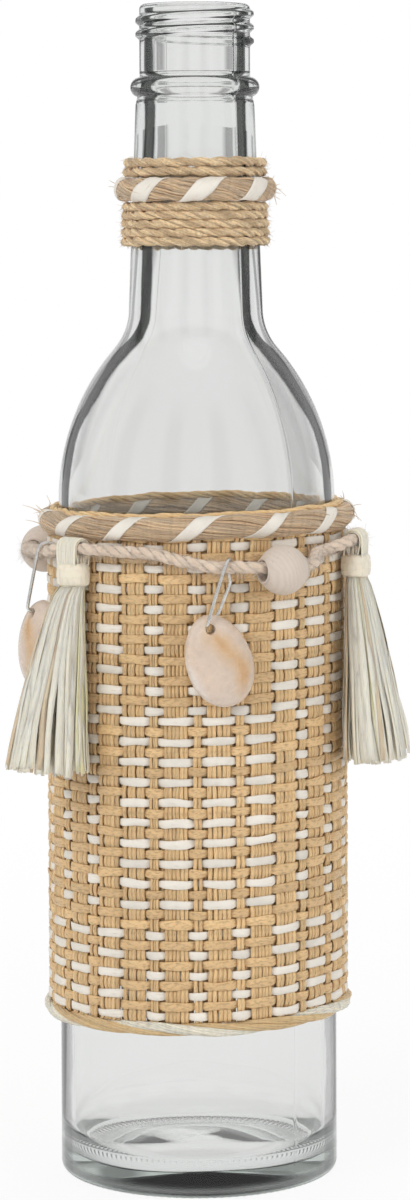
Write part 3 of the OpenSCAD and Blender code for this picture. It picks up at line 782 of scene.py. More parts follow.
class BOTTLE_OT_sleeve(bpy.types.Operator):
    """Weaves the sleeve: upright straws in columns, cross rows over and under them, and the cord below"""

    bl_idname = "charm_bottle.sleeve"
    bl_label = "Woven sleeve"

    def weave(self, phi, row):
        """1 where a row runs over the columns, -1 where it runs under, eased between the columns."""
        places, halves = columns()
        sign = np.where(np.arange(len(places)) % 2 == 1, 1.0, -1.0)
        edges = np.stack([places - halves + 0.010, places + halves - 0.010], -1).ravel()
        values = np.repeat(sign, 2)
        reach = np.concatenate([edges - TURN, edges, edges + TURN])
        found = np.interp(phi, reach, np.tile(values, 3))
        found = found * (1.5 - 0.5 * found ** 2)
        return found * np.where(row % 2 == 0, 1, -1)

    def wefts(self, rng, white):
        """Cross rows: ribbons whose distance from the axis follows the weave."""
        s = settings()
        rows = [i for i in range(47) if row_is_white(i) == white]
        if white:
            extra = []
        else:
            extra = [-1]
        z0, pitch = row_heights()[0], s.weft_pitch
        middle = s.body_diameter / 2 + 2.08 * MM
        form = Form()
        phi = np.linspace(0, TURN, 42 * 8, endpoint=False)
        for i in extra + rows:
            over = self.weave(phi, i)
            r = middle + 0.50 * MM * over + wander(phi, rng, 0.05 * MM, (3, 8, 17, 26))
            z = z0 - pitch * i + wander(phi, rng, 0.15 * MM, (2, 5, 9, 14, 23))
            high = (0.98 if white else 1.06) * MM * (1 + wander(phi, rng, 0.09, (4, 11, 19, 29)))
            high = high * (0.92 + 0.08 * over)
            path = around(phi, r, z)
            rolled = wander(phi, rng, 0.14, (5, 12, 21))
            ribbon = tube(path, around(phi, 1, 0), 0.25 * MM, high, 8, closed=True, square=0.55, turn=rolled)
            form.add(lean(ribbon, s.sleeve_slope), tint=rng.uniform(0.15, 0.85), closed=True)
        return form

    def warps(self, rng, wide_ones):
        """Upright straws: each column is a bundle that bulges out where a row passes behind it."""
        s = settings()
        places, halves = columns()
        z0, pitch = row_heights()[0], s.weft_pitch
        middle = s.body_diameter / 2 + 2.08 * MM
        steps = 48 * 3 + 2
        z = np.linspace(s.sleeve_high + 0.6 * MM, s.sleeve_low - 0.3 * MM, steps)
        row = (z0 - z) / pitch
        beat = np.cos(np.pi * row)
        beat = beat * (1.35 - 0.35 * beat ** 2)
        form = Form()
        for k, (place, half) in enumerate(zip(places, halves)):
            if (half > 0.05) != wide_ones:
                continue
            straws = rng.integers(5, 7) if wide_ones else 2 + rng.integers(0, 2)
            sign = 1.0 if k % 2 == 1 else -1.0
            gaps = (np.arange(straws) + 0.5) / straws * 2 - 1
            lanes = place + half * gaps[:, None] * (1 if wide_ones else 0.9)
            lanes = lanes + rng.normal(0, 0.0025, (straws, 1)) + wander(z * 100, rng, 0.0028, (1, 2.7, 5.1), (straws,))
            r = middle - 0.28 * MM * sign * beat + wander(z * 100, rng, 0.06 * MM, (3, 7, 12), (straws,))
            r = r + rng.normal(0, 0.07, (straws, 1)) * MM
            paths = around(lanes, r, z)
            wide = half * middle / straws * rng.uniform(0.94, 1.14, (straws, 1))
            wide = wide * (1 + wander(z * 100, rng, 0.06, (2, 6, 11), (straws,)))
            thick = rng.uniform(0.30, 0.38, (straws, 1)) * MM
            straw = tube(paths, around(lanes, 1, 0), thick, wide, 6, square=0.75,
                         turn=wander(z * 100, rng, 0.16, (1.5, 4), (straws,)))
            form.add(lean(straw, s.sleeve_slope), tint=np.clip(rng.normal(0.5, 0.25, straws), 0, 1))
        return form

    def backing(self, rng):
        """Flat straws that lie side by side against the glass behind the weave."""
        s = settings()
        straws = 132
        phi = np.arange(straws)[:, None] * TURN / straws + rng.normal(0, 0.004, (straws, 1))
        z = np.linspace(s.sleeve_high + 1.5 * MM, s.sleeve_low - 0.5 * MM, 12)
        phi = phi + wander(z * 100, rng, 0.003, (0.5, 1.3), (straws,))
        r = s.body_diameter / 2 + rng.uniform(1.15, 1.45, (straws, 1)) * MM + 0 * z
        flat = tube(around(phi, r, z), around(phi, 1, 0), 0.2 * MM, rng.uniform(0.72, 1.0, (straws, 1)) * MM, 5)
        return lean(flat, s.sleeve_slope)

    def low_cord(self, rng):
        """Lower rim: a cord of two natural plies and a cream one with a long lay."""
        s = settings()
        radius = s.body_diameter / 2 + 0.65 * MM + s.low_cord_diameter / 2
        phi = np.linspace(0, TURN, 420, endpoint=False)
        z = s.sleeve_low - 0.1 * MM - s.low_cord_diameter / 2 + wander(phi, rng, 0.1 * MM, (2, 5, 9))
        path = lean(around(phi, radius, z), s.sleeve_slope)
        outward = around(phi, 1, 0)
        natural, cream = Form(), Form()
        ply = plies(path, outward, 3, 0.68 * MM, 42 * MM, phase=s.low_cord_phase, closed=True)
        for k in range(3):
            form = cream if k == 0 else natural
            count = 7
            full = 1.25 if k == 0 else 0.95
            a = np.arange(count)[:, None] * TURN / count + 6 * phi
            _, normal, side = frames(ply[k], outward, True)
            off = full * 0.5 * MM * (1 + wander(phi, rng, 0.08, (7, 12), (count,)))[..., None]
            fibres = ply[k] + off * (np.cos(a)[..., None] * normal + np.sin(a)[..., None] * side)
            size = full * 0.40 * MM * (1 + wander(phi, rng, 0.12, (6, 13, 20), (count,)))
            form.add(tube(fibres, outward, size, size, 6, closed=True), tint=rng.uniform(0.2, 0.9, count),
                     closed=True)
        return natural, cream

    def inner_rim(self, rng):
        """A natural strand that lies behind the upper rope and closes the sleeve's rim."""
        s = settings()
        phi = np.linspace(0, TURN, 300, endpoint=False)
        radius = s.body_diameter / 2 + 1.25 * MM
        z = s.sleeve_high + 5.3 * MM + wander(phi, rng, 0.25 * MM, (3, 7, 12, 19))
        path = lean(around(phi, radius + 0 * phi, z), s.sleeve_slope)
        outward = around(phi, 1, 0)
        strands = plies(path, outward, 4, 0.5 * MM, 15 * MM, closed=True)
        size = 0.48 * MM * (1 + wander(phi, rng, 0.1, (6, 13, 20), (4,)))
        return tube(strands, outward, size, size, 6, closed=True)

    def execute(self, context):
        s = settings()
        c = s.straw_colour
        straw = fibre_finish("straw", [shade(c, 0.80), shade(c, 0.97), shade(c, 1.07), shade(c, 1.2)],
                             (150, 5), 0.09 * MM, 0.5, 0.2, 0.05, 0.12)
        paper = paper_finish()
        r = s.raffia_colour
        cream = fibre_finish("cream_straw", [shade(r, 0.85), shade(r, 1), shade(r, 1.06)], (150, 4), 0.1 * MM, 0.6)
        rng = np.random.default_rng(31)
        make_piece("weft_white", self.wefts(rng, True), "bottle", paper, ("sleeve_wefts_white",))
        make_piece("weft_natural", self.wefts(rng, False), "bottle", straw, ("sleeve_wefts_natural",))
        make_piece("warp_wide", self.warps(rng, True), "bottle", straw, ("sleeve_warps",))
        make_piece("warp_narrow", self.warps(rng, False), "bottle", straw)
        back = Form().add(self.backing(rng), tint=rng.uniform(0.2, 0.7, 132))
        make_piece("warp_backing", back, "bottle", straw)
        natural, pale = self.low_cord(rng)
        natural.add(self.inner_rim(rng), tint=rng.uniform(0.6, 1, 4), closed=True)
        make_piece("rim_cord_natural", natural, "bottle", straw, ("sleeve_bottom_cord",))
        make_piece("rim_cord_cream", pale, "bottle", cream)
        return {"FINISHED"}


# The charms ---------------------------------------------------------------------------------------------


def station_point(station, side):
    phi = np.radians(station[0])
    along = np.array([np.cos(phi), np.sin(phi), 0])
    return around(phi, sleeve_radius() + station[1] * MM, station[2] * MM) + side * station[3] * MM * along, along


def cord_route():
    """The charm cord from the knot round to the knot: straight through the stations, cubic curves between."""
    stations = [(TASSELS[2][0] - 360, *TASSELS[2][1:]), SEATS[0], BEADS[0], SEATS[1], SHELLS[0], TASSELS[0],
                SEATS[2], SHELLS[1], BEADS[1], SEATS[3], TASSELS[1], SEATS[4], SHELLS[2], BEADS[2]]
    marks = [station_point((KNOT[0] - 360, *KNOT[1:]), 1)]
    for s in stations:
        marks += [station_point(s, side) for side in ((-1, 1) if s[3] else (0,))]
    marks.append(station_point(KNOT, -1))
    path = []
    t = np.linspace(0, 1, 24, endpoint=False)[:, None]
    for (p, p_way), (q, q_way) in zip(marks, marks[1:]):
        reach = np.linalg.norm(q - p)
        path.append((2 * t ** 3 - 3 * t ** 2 + 1) * p + (t ** 3 - 2 * t ** 2 + t) * reach * p_way
                    + (3 * t ** 2 - 2 * t ** 3) * q + (t ** 3 - t ** 2) * reach * q_way)
    return evenly(np.concatenate(path + [marks[-1][0][None]]), 0.5 * MM)


def yarn(form, fuzz, rng, path, up, radius, lay, hair, count, tips=False):
    """Soft yarn of three plies, each thick and thin by turns, with a halo of fine hairs."""
    strands = plies(path, up, 3, radius * 0.34, lay)
    x = np.linspace(0, len(path) / 16, len(path))
    size = radius * 0.66 * (1 + wander(x, rng, 0.09, (1, 2.3, 4.1, 7.7), (3,)))
    if tips:
        size = size * smooth((1.02 - np.linspace(0, 1, len(path))) * 9)
    form.add(tube(strands, up, size, size, 9), tint=rng.uniform(0.25, 0.75, 3))
    tangent, normal, side = frames(path, up)
    pick = rng.integers(0, len(path), count)
    a = rng.uniform(0, TURN, count)[:, None]
    away = np.cos(a) * normal[pick] + np.sin(a) * side[pick]
    strays = hairs(rng, path[pick] + away * radius * 0.82, away, tangent[pick], hair, 1.6)
    thin = np.linspace(0.045, 0.018, strays.shape[1]) * MM
    fuzz.add(tube(strays, (0.3, 0.2, 1), thin, thin, 3), tint=rng.uniform(0, 1, count))


class BOTTLE_OT_charm_cord(bpy.types.Operator):
    """Makes the fuzzy cord that carries the charms, and its knot at the back"""

    bl_idname = "charm_bottle.charm_cord"
    bl_label = "Charm cord"

    def knot(self, form, fuzz, rng):
        """Three wraps of yarn round the cord with two hanging ends."""
        radius = 0.72 * MM
        t = np.linspace(0, 1, 150)
        wrap = np.stack([(-1.5 + 3 * t) * MM, 1.72 * MM * np.cos(TURN * 3.2 * t), 1.72 * MM * np.sin(TURN * 3.2 * t)], -1)
        yarn(form, fuzz, rng, at_station(wrap, KNOT), (0.1, 0.2, 1), radius, 4 * MM, 1.3 * MM, 90)
        for side in (-1, 1):
            t = np.linspace(0, 1, 60)
            x = side * (0.8 + 1.5 * t + 0.25 * np.sin(5 * t)) * MM
            tail = np.stack([x, -0.25 * MM * np.sin(4 * t + side), (-1.2 - 11.4 * t) * MM], -1)
            yarn(form, fuzz, rng, at_station(tail, KNOT), (0.3, 1, 0), 0.9 * MM, 4 * MM, 1.6 * MM, 120, tips=True)

    def execute(self, context):
        s = settings()
        rng = np.random.default_rng(41)
        c = s.wool_colour
        f = Finish("wool")
        flock = f.noise(f.uv(420, 7), 2.0, 4, 0.65)
        cloud = f.noise(f.place(), 320, 3)
        base = f.ramp(f.spread(f.tint() * 0.6 + (cloud - 0.5) * 0.9 + 0.2, 0, 1),
                      [(0, shade(c, 0.78)), (0.5, shade(c, 1)), (1, shade(c, 1.16))])
        base = f.mix(f.spread(flock, 0.45, 0.28), base, shade(c, 0.72))
        wool = f.surface(Base_Color=base, Roughness=f.spread(flock, 0.3, 0.7, 0.95, 0.85),
                         Normal=f.bump(flock, 0.25 * MM, 0.8), Sheen_Weight=0.5, Sheen_Roughness=0.4,
                         Subsurface_Weight=0.4, Subsurface_Radius=(1.0, 0.8, 0.6), Subsurface_Scale=0.9 * MM)
        path = cord_route()
        up = around(np.arctan2(path[:, 0], -path[:, 1]), 1, 0)
        cord, fuzz, knot, knot_fuzz = Form(), Form(), Form(), Form()
        yarn(cord, fuzz, rng, path, up, s.cord_diameter / 2, 8.5 * MM, 1.7 * MM, 7500)
        piece = make_piece("charm_cord_yarn", cord, "bottle", wool, ("charm_cord",))
        halo = make_piece("charm_cord_fuzz", fuzz, "bottle", wool)
        self.knot(knot, knot_fuzz, rng)
        tied = make_piece("charm_knot_yarn", knot, "bottle", wool, ("charm_knot",))
        ends = make_piece("charm_knot_fuzz", knot_fuzz, "bottle", wool)
        tuple(path[0])
        [tuple(p) for p in evenly(path, 2.5 * MM)]
        return {"FINISHED"}


class BOTTLE_OT_beads(bpy.types.Operator):
    """Turns the three wooden beads"""

    bl_idname = "charm_bottle.beads"
    bl_label = "Beads"

    def execute(self, context):
        s = settings()
        r, bore = s.bead_diameter / 2, s.bead_bore / 2
        end = math.degrees(math.asin((bore + 0.45 * MM) / r))
        outside = arc((0, 0), r, 180 - end, end, 44)
        x = outside[0, 0]
        outline = np.concatenate([
            outside,
            arc((-x - 0.05 * MM, bore + 0.45 * MM), 0.45 * MM, 20, -90, 6),
            line((-x - 0.05 * MM, bore), (x + 0.05 * MM, bore), 8),
            arc((x + 0.05 * MM, bore + 0.45 * MM), 0.45 * MM, 270, 160, 6),
        ])
        a = np.arange(64)[None, :] * TURN / 64
        x, y = outline[:, :1], outline[:, 1:]
        ring = np.stack([x + 0 * a, y * np.cos(a), y * np.sin(a)], -1)
        for i, station in enumerate(BEADS, 1):
            grid = at_station(ring + [0, 0, s.cord_diameter / 2 + 0.2 * MM - bore], station)
            form = Form().add(grid[:, ::-1], closed=True)
            make_piece(f"charm_piece_bead_{i}", form, f"bead_body_{i}", self.finish(i, station),
                       (f"bead_{i}",))
        return {"FINISHED"}

    def finish(self, i, station):
        """Bare pale wood: growth rings cut across the bead, fine pores along them."""
        f = Finish(f"bead_wood_{i}")
        c = settings().wood_colour
        middle = around(np.radians(station[0]), sleeve_radius() + station[1] * MM, station[2] * MM)
        place = f.node("ShaderNodeMapping", {
            "Vector": f.node("ShaderNodeTexCoord")["Object"],
            "Location": tuple(-middle),
        }, vector_type="POINT")
        spun = f.node("ShaderNodeMapping", {"Vector": place, "Rotation": (0.35, 0.3 * i, math.radians(-station[0]))})
        wavy = f.noise(f.node("ShaderNodeMapping", {"Vector": spun, "Scale": (1, 1, 0.3)}), 240, 3)
        rings = f.node("ShaderNodeTexWave", {"Vector": spun, "Scale": 330.0, "Distortion": 3.0, "Detail": 2.0,
                                             "Detail Scale": 1.2}, wave_type="BANDS", bands_direction="X")["Fac"]
        pores = f.noise(f.node("ShaderNodeMapping", {"Vector": spun, "Scale": (6, 6, 0.6)}), 420, 3)
        base = f.ramp(f.spread(rings * 0.5 + wavy * 0.6, 0.1, 0.95),
                      [(0, shade(c, 0.95)), (0.5, shade(c, 1)), (1, shade(c, 1.04))])
        base = f.mix(f.spread(pores, 0.40, 0.26), base, shade(c, 0.86))
        return f.surface(Base_Color=base, Roughness=f.spread(pores, 0.3, 0.7, 0.62, 0.5),
                         Normal=f.bump(pores, 0.05 * MM, 0.5), Coat_Weight=0.06, Coat_Roughness=0.4)


class BOTTLE_OT_tassels(bpy.types.Operator):
    """Ties the three raffia tassels: a loop over the cord, a wound band and a skirt of strands"""

    bl_idname = "charm_bottle.tassels"
    bl_label = "Tassels"

    def skirt(self, rng, lower):
        """Flat strands from the band down: an outer layer that faces outward, gathered in locks, and a core."""
        s = settings()
        half_w, half_d, w_grow, d_grow, turn = lower
        outer, core = 56, 120
        count = outer + core
        t = np.linspace(0, 1, 17)
        a = np.concatenate([np.arange(outer) / outer, rng.uniform(0, 1, core)])[:, None] * TURN
        a = a + rng.normal(0, 0.04, (count, 1))
        lock = np.sin(5 * a + turn) + 0.6 * np.sin(9 * a + 2 * turn)
        a = a - 0.075 * lock * smooth(1.2 * t) + wander(t * 2, rng, 0.05, (1, 2.1), (count,)) * t
        full = np.concatenate([rng.uniform(0.91, 1, outer), np.sqrt(rng.uniform(0.03, 0.8, core))])[:, None]
        w = 3.2 * MM + (half_w - 3.2) * MM * t ** w_grow
        d = 2.2 * MM + (half_d - 2.2) * MM * t ** d_grow
        back = 2.2 * MM + 0.4 * MM * t
        x = w * full * np.cos(a) + wander(t * 3, rng, 0.35 * MM, (1, 2.3, 4.1), (count,)) * t
        y = back - d + d * full * np.sin(a) + wander(t * 3, rng, 0.3 * MM, (1, 2.6, 3.9), (count,)) * t
        y = np.minimum(y, back + 0.2 * MM)
        reach = s.tassel_length - 8.1 * MM
        spread = (x[:, -1:] - x[:, :1]) ** 2 + (y[:, -1:] - y[:, :1]) ** 2
        z = -8.1 * MM - np.sqrt(reach ** 2 - spread * 0.75) * t * rng.uniform(0.965, 1.0, (count, 1))
        away = unit(np.stack([np.cos(a) / w, np.sin(a) / d, 0 * a], -1))
        wide = np.concatenate([rng.uniform(0.65, 1.15, outer), rng.uniform(0.45, 0.8, core)])[:, None] * MM
        wide = wide * (0.42 + 0.58 * smooth(t * 2.2)) * (1 + wander(t * 4, rng, 0.08, (1, 3), (count,)))
        twist = np.concatenate([np.full(outer, 0.16), np.full(core, 0.6)])[:, None]
        twist = twist * wander(t * 2, rng, 1, (0.8, 1.7, 2.9), (count,))
        return tube(np.stack([x, y, z], -1), away, 0.07 * MM, wide, 6, turn=twist), np.degrees(a[:, -1])

    def loop(self, rng, count, near):
        """Strands side by side that rise from the band, pass over the cord and go down behind it.

        near is 0 for the outer layer and 1 for the inner one, which closes in below the cord.
        """
        s = settings()
        r = s.cord_diameter / 2 + (0.75 - 0.42 * near) * MM
        a = np.radians(np.linspace(180, 0, 13))
        over = np.stack([r * np.cos(a), r * np.sin(a)], -1)
        side = np.array([[-r + (0.1 + 0.8 * near) * MM, -8.1 * MM], [-r + (0.1 + 0.8 * near) * MM, -5.3 * MM],
                         [-r + 0.5 * near * MM, -2.9 * MM], [-r, -1.2 * MM]])
        outline = np.concatenate([side, over, side[::-1] * [-1, 1]])
        x = np.linspace(-2.75, 2.75, count)[:, None] * MM + rng.normal(0, 0.08, (count, 1)) * MM
        pull = 1 - 0.10 * smooth((outline[:, 1] + 1 * MM) / (-5 * MM))
        x = x * pull + wander(np.linspace(0, 3, len(outline)), rng, 0.07 * MM, (1, 2), (count,))
        y = outline[:, 0] + rng.normal(0, 0.07, (count, 1)) * MM
        paths = np.stack([x, y, outline[:, 1] + 0 * x], -1)
        tangent = unit(np.gradient(outline, axis=0))
        away = np.stack([0 * tangent[:, 0], -tangent[:, 1], tangent[:, 0]], -1)
        away = np.broadcast_to(away, paths.shape)
        wide = rng.uniform(0.40, 0.62, (count, 1)) * MM
        return tube(paths, away, 0.24 * MM, wide, 6)

    def heart(self, rng):
        """Strands inside the loop, between the cord and the band."""
        x = np.tile(np.linspace(-2.4, 2.4, 7), 3)[:, None]
        y = np.repeat([-0.9, 0, 0.9], 7)[:, None] + rng.normal(0, 0.08, (21, 1))
        t = np.linspace(0, 1, 6)
        z = -1.7 + 0.35 * np.abs(y) - 5.3 * t
        paths = np.stack([x + 0 * t, y + 0 * t, z], -1) * MM
        return tube(paths, (0, -1, 0), 0.42 * MM, rng.uniform(0.4, 0.55, (21, 1)) * MM, 6)

    def band(self, rng):
        """A strip wound round the head: an oval whose radius swells a little and shows each pass."""
        s = settings()
        rows, sides = 34, 56
        t = np.linspace(0, 1, rows)[:, None]
        a = np.arange(sides)[None, :] * TURN / sides
        pass_height = (t * 3.1 + 0.12 * np.sin(a + 0.6)) % 1
        ridge = 0.10 * MM * smooth(pass_height / 0.16) * smooth((1 - pass_height) / 0.2)
        swell = 0.45 * MM * np.sin(np.pi * t) ** 0.6
        close = np.sqrt(np.clip(np.minimum(t, 1 - t) / 0.12, 0, 1))
        grow = (ridge + swell - 0.25 * MM) - 0.9 * MM * (1 - close)
        w, d = 8.0 * MM / 2 + grow, 6.3 * MM / 2 + grow
        z = -3.4 * MM - 5.4 * MM * t
        z = z + 0.10 * MM * np.sin(2 * a + 1)
        outer = np.stack([w * np.cos(a), -d * np.sin(a), z + 0 * a], -1)
        return outer

    def execute(self, context):
        s = settings()
        c = s.raffia_colour
        p = s.peach_colour
        peach = tuple(0.75 * p[k] + 0.25 * c[k] for k in range(3))
        warm = (c[0] * 0.97, c[1] * 0.88, c[2] * 0.76)
        green = (c[0] * 0.92, c[1] * 0.93, c[2] * 0.66)
        raffia = fibre_finish("raffia", [peach, warm, shade(c, 0.93), shade(c, 1), shade(c, 1.06), green],
                              (60, 7), 0.06 * MM, 0.5, 0.08, 0.12, 0.05)
        for i, station in enumerate(TASSELS, 1):
            rng = np.random.default_rng(50 + i)
            form = Form()
            strands, places = self.skirt(rng, SKIRTS[i - 1])
            tints = np.clip(rng.normal(0.62, 0.10, len(places)), 0.42, 0.8)
            odd = rng.uniform(0, 1, len(places))
            tints = np.where(odd < 0.04, 0.05, np.where(odd > 0.93, 0.97, tints))
            if i == 1:
                tints = np.where(np.abs((places + 112 + 180) % 360 - 180) < 9, 0.02, tints)
            form.add(at_station(strands, station), tint=tints)
            form.add(at_station(self.loop(rng, 8, 0), station), tint=rng.uniform(0.5, 0.78, 8))
            form.add(at_station(self.loop(rng, 7, 1), station), tint=rng.uniform(0.45, 0.7, 7))
            form.add(at_station(self.heart(rng), station), tint=0.5)
            make_piece(f"charm_piece_tassel_{i}", form, f"tassel_body_{i}", raffia, (f"tassel_{i}",))
            band = Form().add(at_station(self.band(rng), station)[:, ::-1], tint=0.55)
            make_piece(f"charm_piece_band_{i}", band, f"tassel_body_{i}", raffia,
                       (f"tassel_binding_{i}",))
        return {"FINISHED"}


class BOTTLE_OT_shells(bpy.types.Operator):
    """Makes the three cowrie shells and the wires that they hang on"""

    bl_idname = "charm_bottle.shells"
    bl_label = "Shells"

    def wire(self, station, tilt):
        """A closed loop: over the cord, down, and through the shell's hole, with its back a little to the right."""
        s = settings()
        r = s.cord_diameter / 2 + 0.2 * MM + s.wire_diameter / 2
        low, bend = -s.wire_length, 0.9 * MM
        front, rear = 4.1 * MM, 2.6 * MM
        top = arc((0, 0), r, 180, 0, 17)
        down = line(top[-1], (rear, low + bend), 12)
        under = np.concatenate([arc((rear - bend, low + bend), bend, 0, -90, 7),
                                arc((bend - front, low + bend), bend, -90, -180, 7)])
        rise = line(under[-1], top[0], 12)
        flat = np.concatenate([top, down, under, rise])
        drop = np.clip(-flat[:, 1] / s.wire_length, 0, 1)
        apart = 1.5 * MM * smooth(drop / 0.25) * smooth((1 - drop) / 0.25) * (flat[:, 0] > 0)
        path = np.stack([flat[:, 0] * (0.42 - 0.24 * drop) + apart, flat[:, 0], flat[:, 1]], -1)
        path = at_station(turned(path, tilt), station)
        phi = np.radians(station[0])
        return tube(path, np.array([np.cos(phi), np.sin(phi), 0.02]), s.wire_diameter / 2, s.wire_diameter / 2, 10,
                    closed=True)

    def cowrie(self):
        """Along the length u and round it at the angle a: a dome in front, nearly flat behind.

        Half the width is sqrt(1 - u^2) with a slight swell to one end, and the back has a slit between two
        rounded lips with teeth across them.
        """
        s = settings()
        length, width, thick = s.shell_length, s.shell_width, s.shell_thickness
        u = -np.cos(np.linspace(0.02, np.pi - 0.02, 110))[:, None]
        a = -np.arange(96)[None, :] * TURN / 96
        girth = np.sqrt(np.maximum(0.0004, 1 - u * u))
        half = width / 2 * girth * (1 + 0.08 * u)
        x = half * np.cos(a)
        front = thick * 0.67 * girth ** 0.9 * np.sin(a)
        back = thick * 0.33 * girth * np.abs(np.sin(a)) ** 0.55
        z = 2.9 * MM - length / 2 - u * length / 2 + 0 * a
        inside = smooth((0.86 - np.abs(u + 0.02)) / 0.2) * (np.sin(a) > 0)
        middle = x - 0.3 * MM * np.sin(3 * u)
        slit = np.exp(-(middle / (0.42 * MM)) ** 2)
        lip = np.exp(-((np.abs(middle) - 1.7 * MM) / (1.3 * MM)) ** 2)
        teeth = np.cos(TURN * (z + 0 * a) / (1.25 * MM)) * lip
        back = back - inside * (0.95 * MM * slit - 0.10 * MM * teeth - 0.25 * MM * lip)
        y = np.where(np.sin(a) < 0, front, np.maximum(back, 0.2 * MM * np.sin(a)))
        return np.stack([x, y, z], -1)

    def drilled(self, form, station, leans, name):
        """The shell with its hole cut through from front to back."""
        body = bpy.data.objects.new(name, form.mesh(name))
        bpy.context.scene.collection.objects.link(body)
        s = settings()
        a = np.arange(24)[None, :] * TURN / 24
        y = np.array([-8, 8])[:, None] * MM
        drill = np.stack([1.15 * MM * np.cos(a) + 0 * y, y + 0 * a, 1.15 * MM * np.sin(a) + 0 * y], -1)
        drill = self.hang(drill, station, leans)[:, ::-1]
        bit = bpy.data.objects.new("drill", Form().add(drill).mesh("drill"))
        bpy.context.scene.collection.objects.link(bit)
        cut = body.modifiers.new("hole", "BOOLEAN")
        cut.operation, cut.object, cut.solver = "DIFFERENCE", bit, "EXACT"
        found = body.evaluated_get(bpy.context.evaluated_depsgraph_get())
        mesh = bpy.data.meshes.new_from_object(found)
        bpy.data.objects.remove(bit)
        bpy.data.objects.remove(body)
        mesh.materials.clear()
        mesh.shade_smooth()
        return mesh

    def hang(self, points, station, leans):
        """Shell's own frame, with the hole at its origin, to its place at the wire's lower end."""
        s = settings()
        wire, shell = leans
        drop = s.wire_diameter / 2 + 0.1 * MM - 1.15 * MM
        points = turned(points + [0, 0, drop], shell - wire) - [0, 0, s.wire_length]
        return at_station(turned(points, wire), station)

    def execute(self, context):
        metal = self.silver()
        porcelain = self.porcelain()
        for i, station in enumerate(SHELLS, 1):
            leans = WIRE_LEAN[i - 1], SHELL_LEAN[i - 1]
            wire = Form().add(self.wire(station, leans[0]), closed=True)
            make_piece(f"charm_piece_wire_{i}", wire, f"wire_body_{i}", metal, (f"shell_wire_{i}",))
            form = Form().add(self.hang(self.cowrie(), station, leans))
            mesh = self.drilled(form, station, leans, f"shell_{i}_blank")
            make_piece(f"charm_piece_shell_{i}", mesh, f"shell_body_{i}", porcelain, (f"shell_{i}",))
        return {"FINISHED"}

    def silver(self):
        """Bright drawn wire with fine scratches along it."""
        f = Finish("silver_wire")
        scratch = f.noise(f.uv(300, 6), 3.0, 3)
        dull = f.noise(f.place(), 900, 2)
        c = settings().silver_colour
        base = f.mix(f.spread(dull, 0.35, 0.7), shade(c, 0.86), shade(c, 1.08))
        return f.surface(Base_Color=base, Metallic=1.0, Roughness=f.spread(scratch, 0.3, 0.7, 0.16, 0.34),
                         Normal=f.bump(scratch, 0.01 * MM, 0.4))

    def porcelain(self):
        """Glossy cowrie: pale pink-cream back with a golden streak down its dome and whiter edges."""
        f = Finish("cowrie")
        c = settings().shell_colour
        place = f.uv(1, 1)
        split = f.node("ShaderNodeSeparateXYZ", {"Vector": place})
        around_it, along = split["Y"], split["X"]
        streak = around_it - f.spread(along, 3 * MM, 13 * MM, 0.26, 0.16)
        off = streak.maths("ABSOLUTE", streak)
        cloud = f.noise(f.place(), 150, 3)
        fine = f.noise(f.place(), 520, 2)
        off = off + (cloud - 0.5) * 0.12
        base = f.ramp(f.spread(off, 0, 0.27),
                      [(0, (0.56, 0.34, 0.17)), (0.12, (0.60, 0.42, 0.26)), (0.32, tuple(c)),
                       (0.75, shade(c, 1.12)), (1, (0.74, 0.66, 0.60))])
        ends = f.spread((along - settings().shell_length / 2).maths("ABSOLUTE", along - settings().shell_length / 2),
                        5 * MM, 10 * MM)
        base = f.mix(ends * 0.6, base, (0.70, 0.60, 0.52))
        base = f.mix(f.spread(fine, 0.45, 0.3, 0, 0.4), base, shade(c, 0.8))
        return f.surface(Base_Color=base, Roughness=f.spread(fine, 0.3, 0.7, 0.20, 0.32), Coat_Weight=0.5,
                         Coat_Roughness=0.12, Normal=f.bump(cloud, 0.25 * MM, 0.3))


# The stage ----------------------------------------------------------------------------------------------


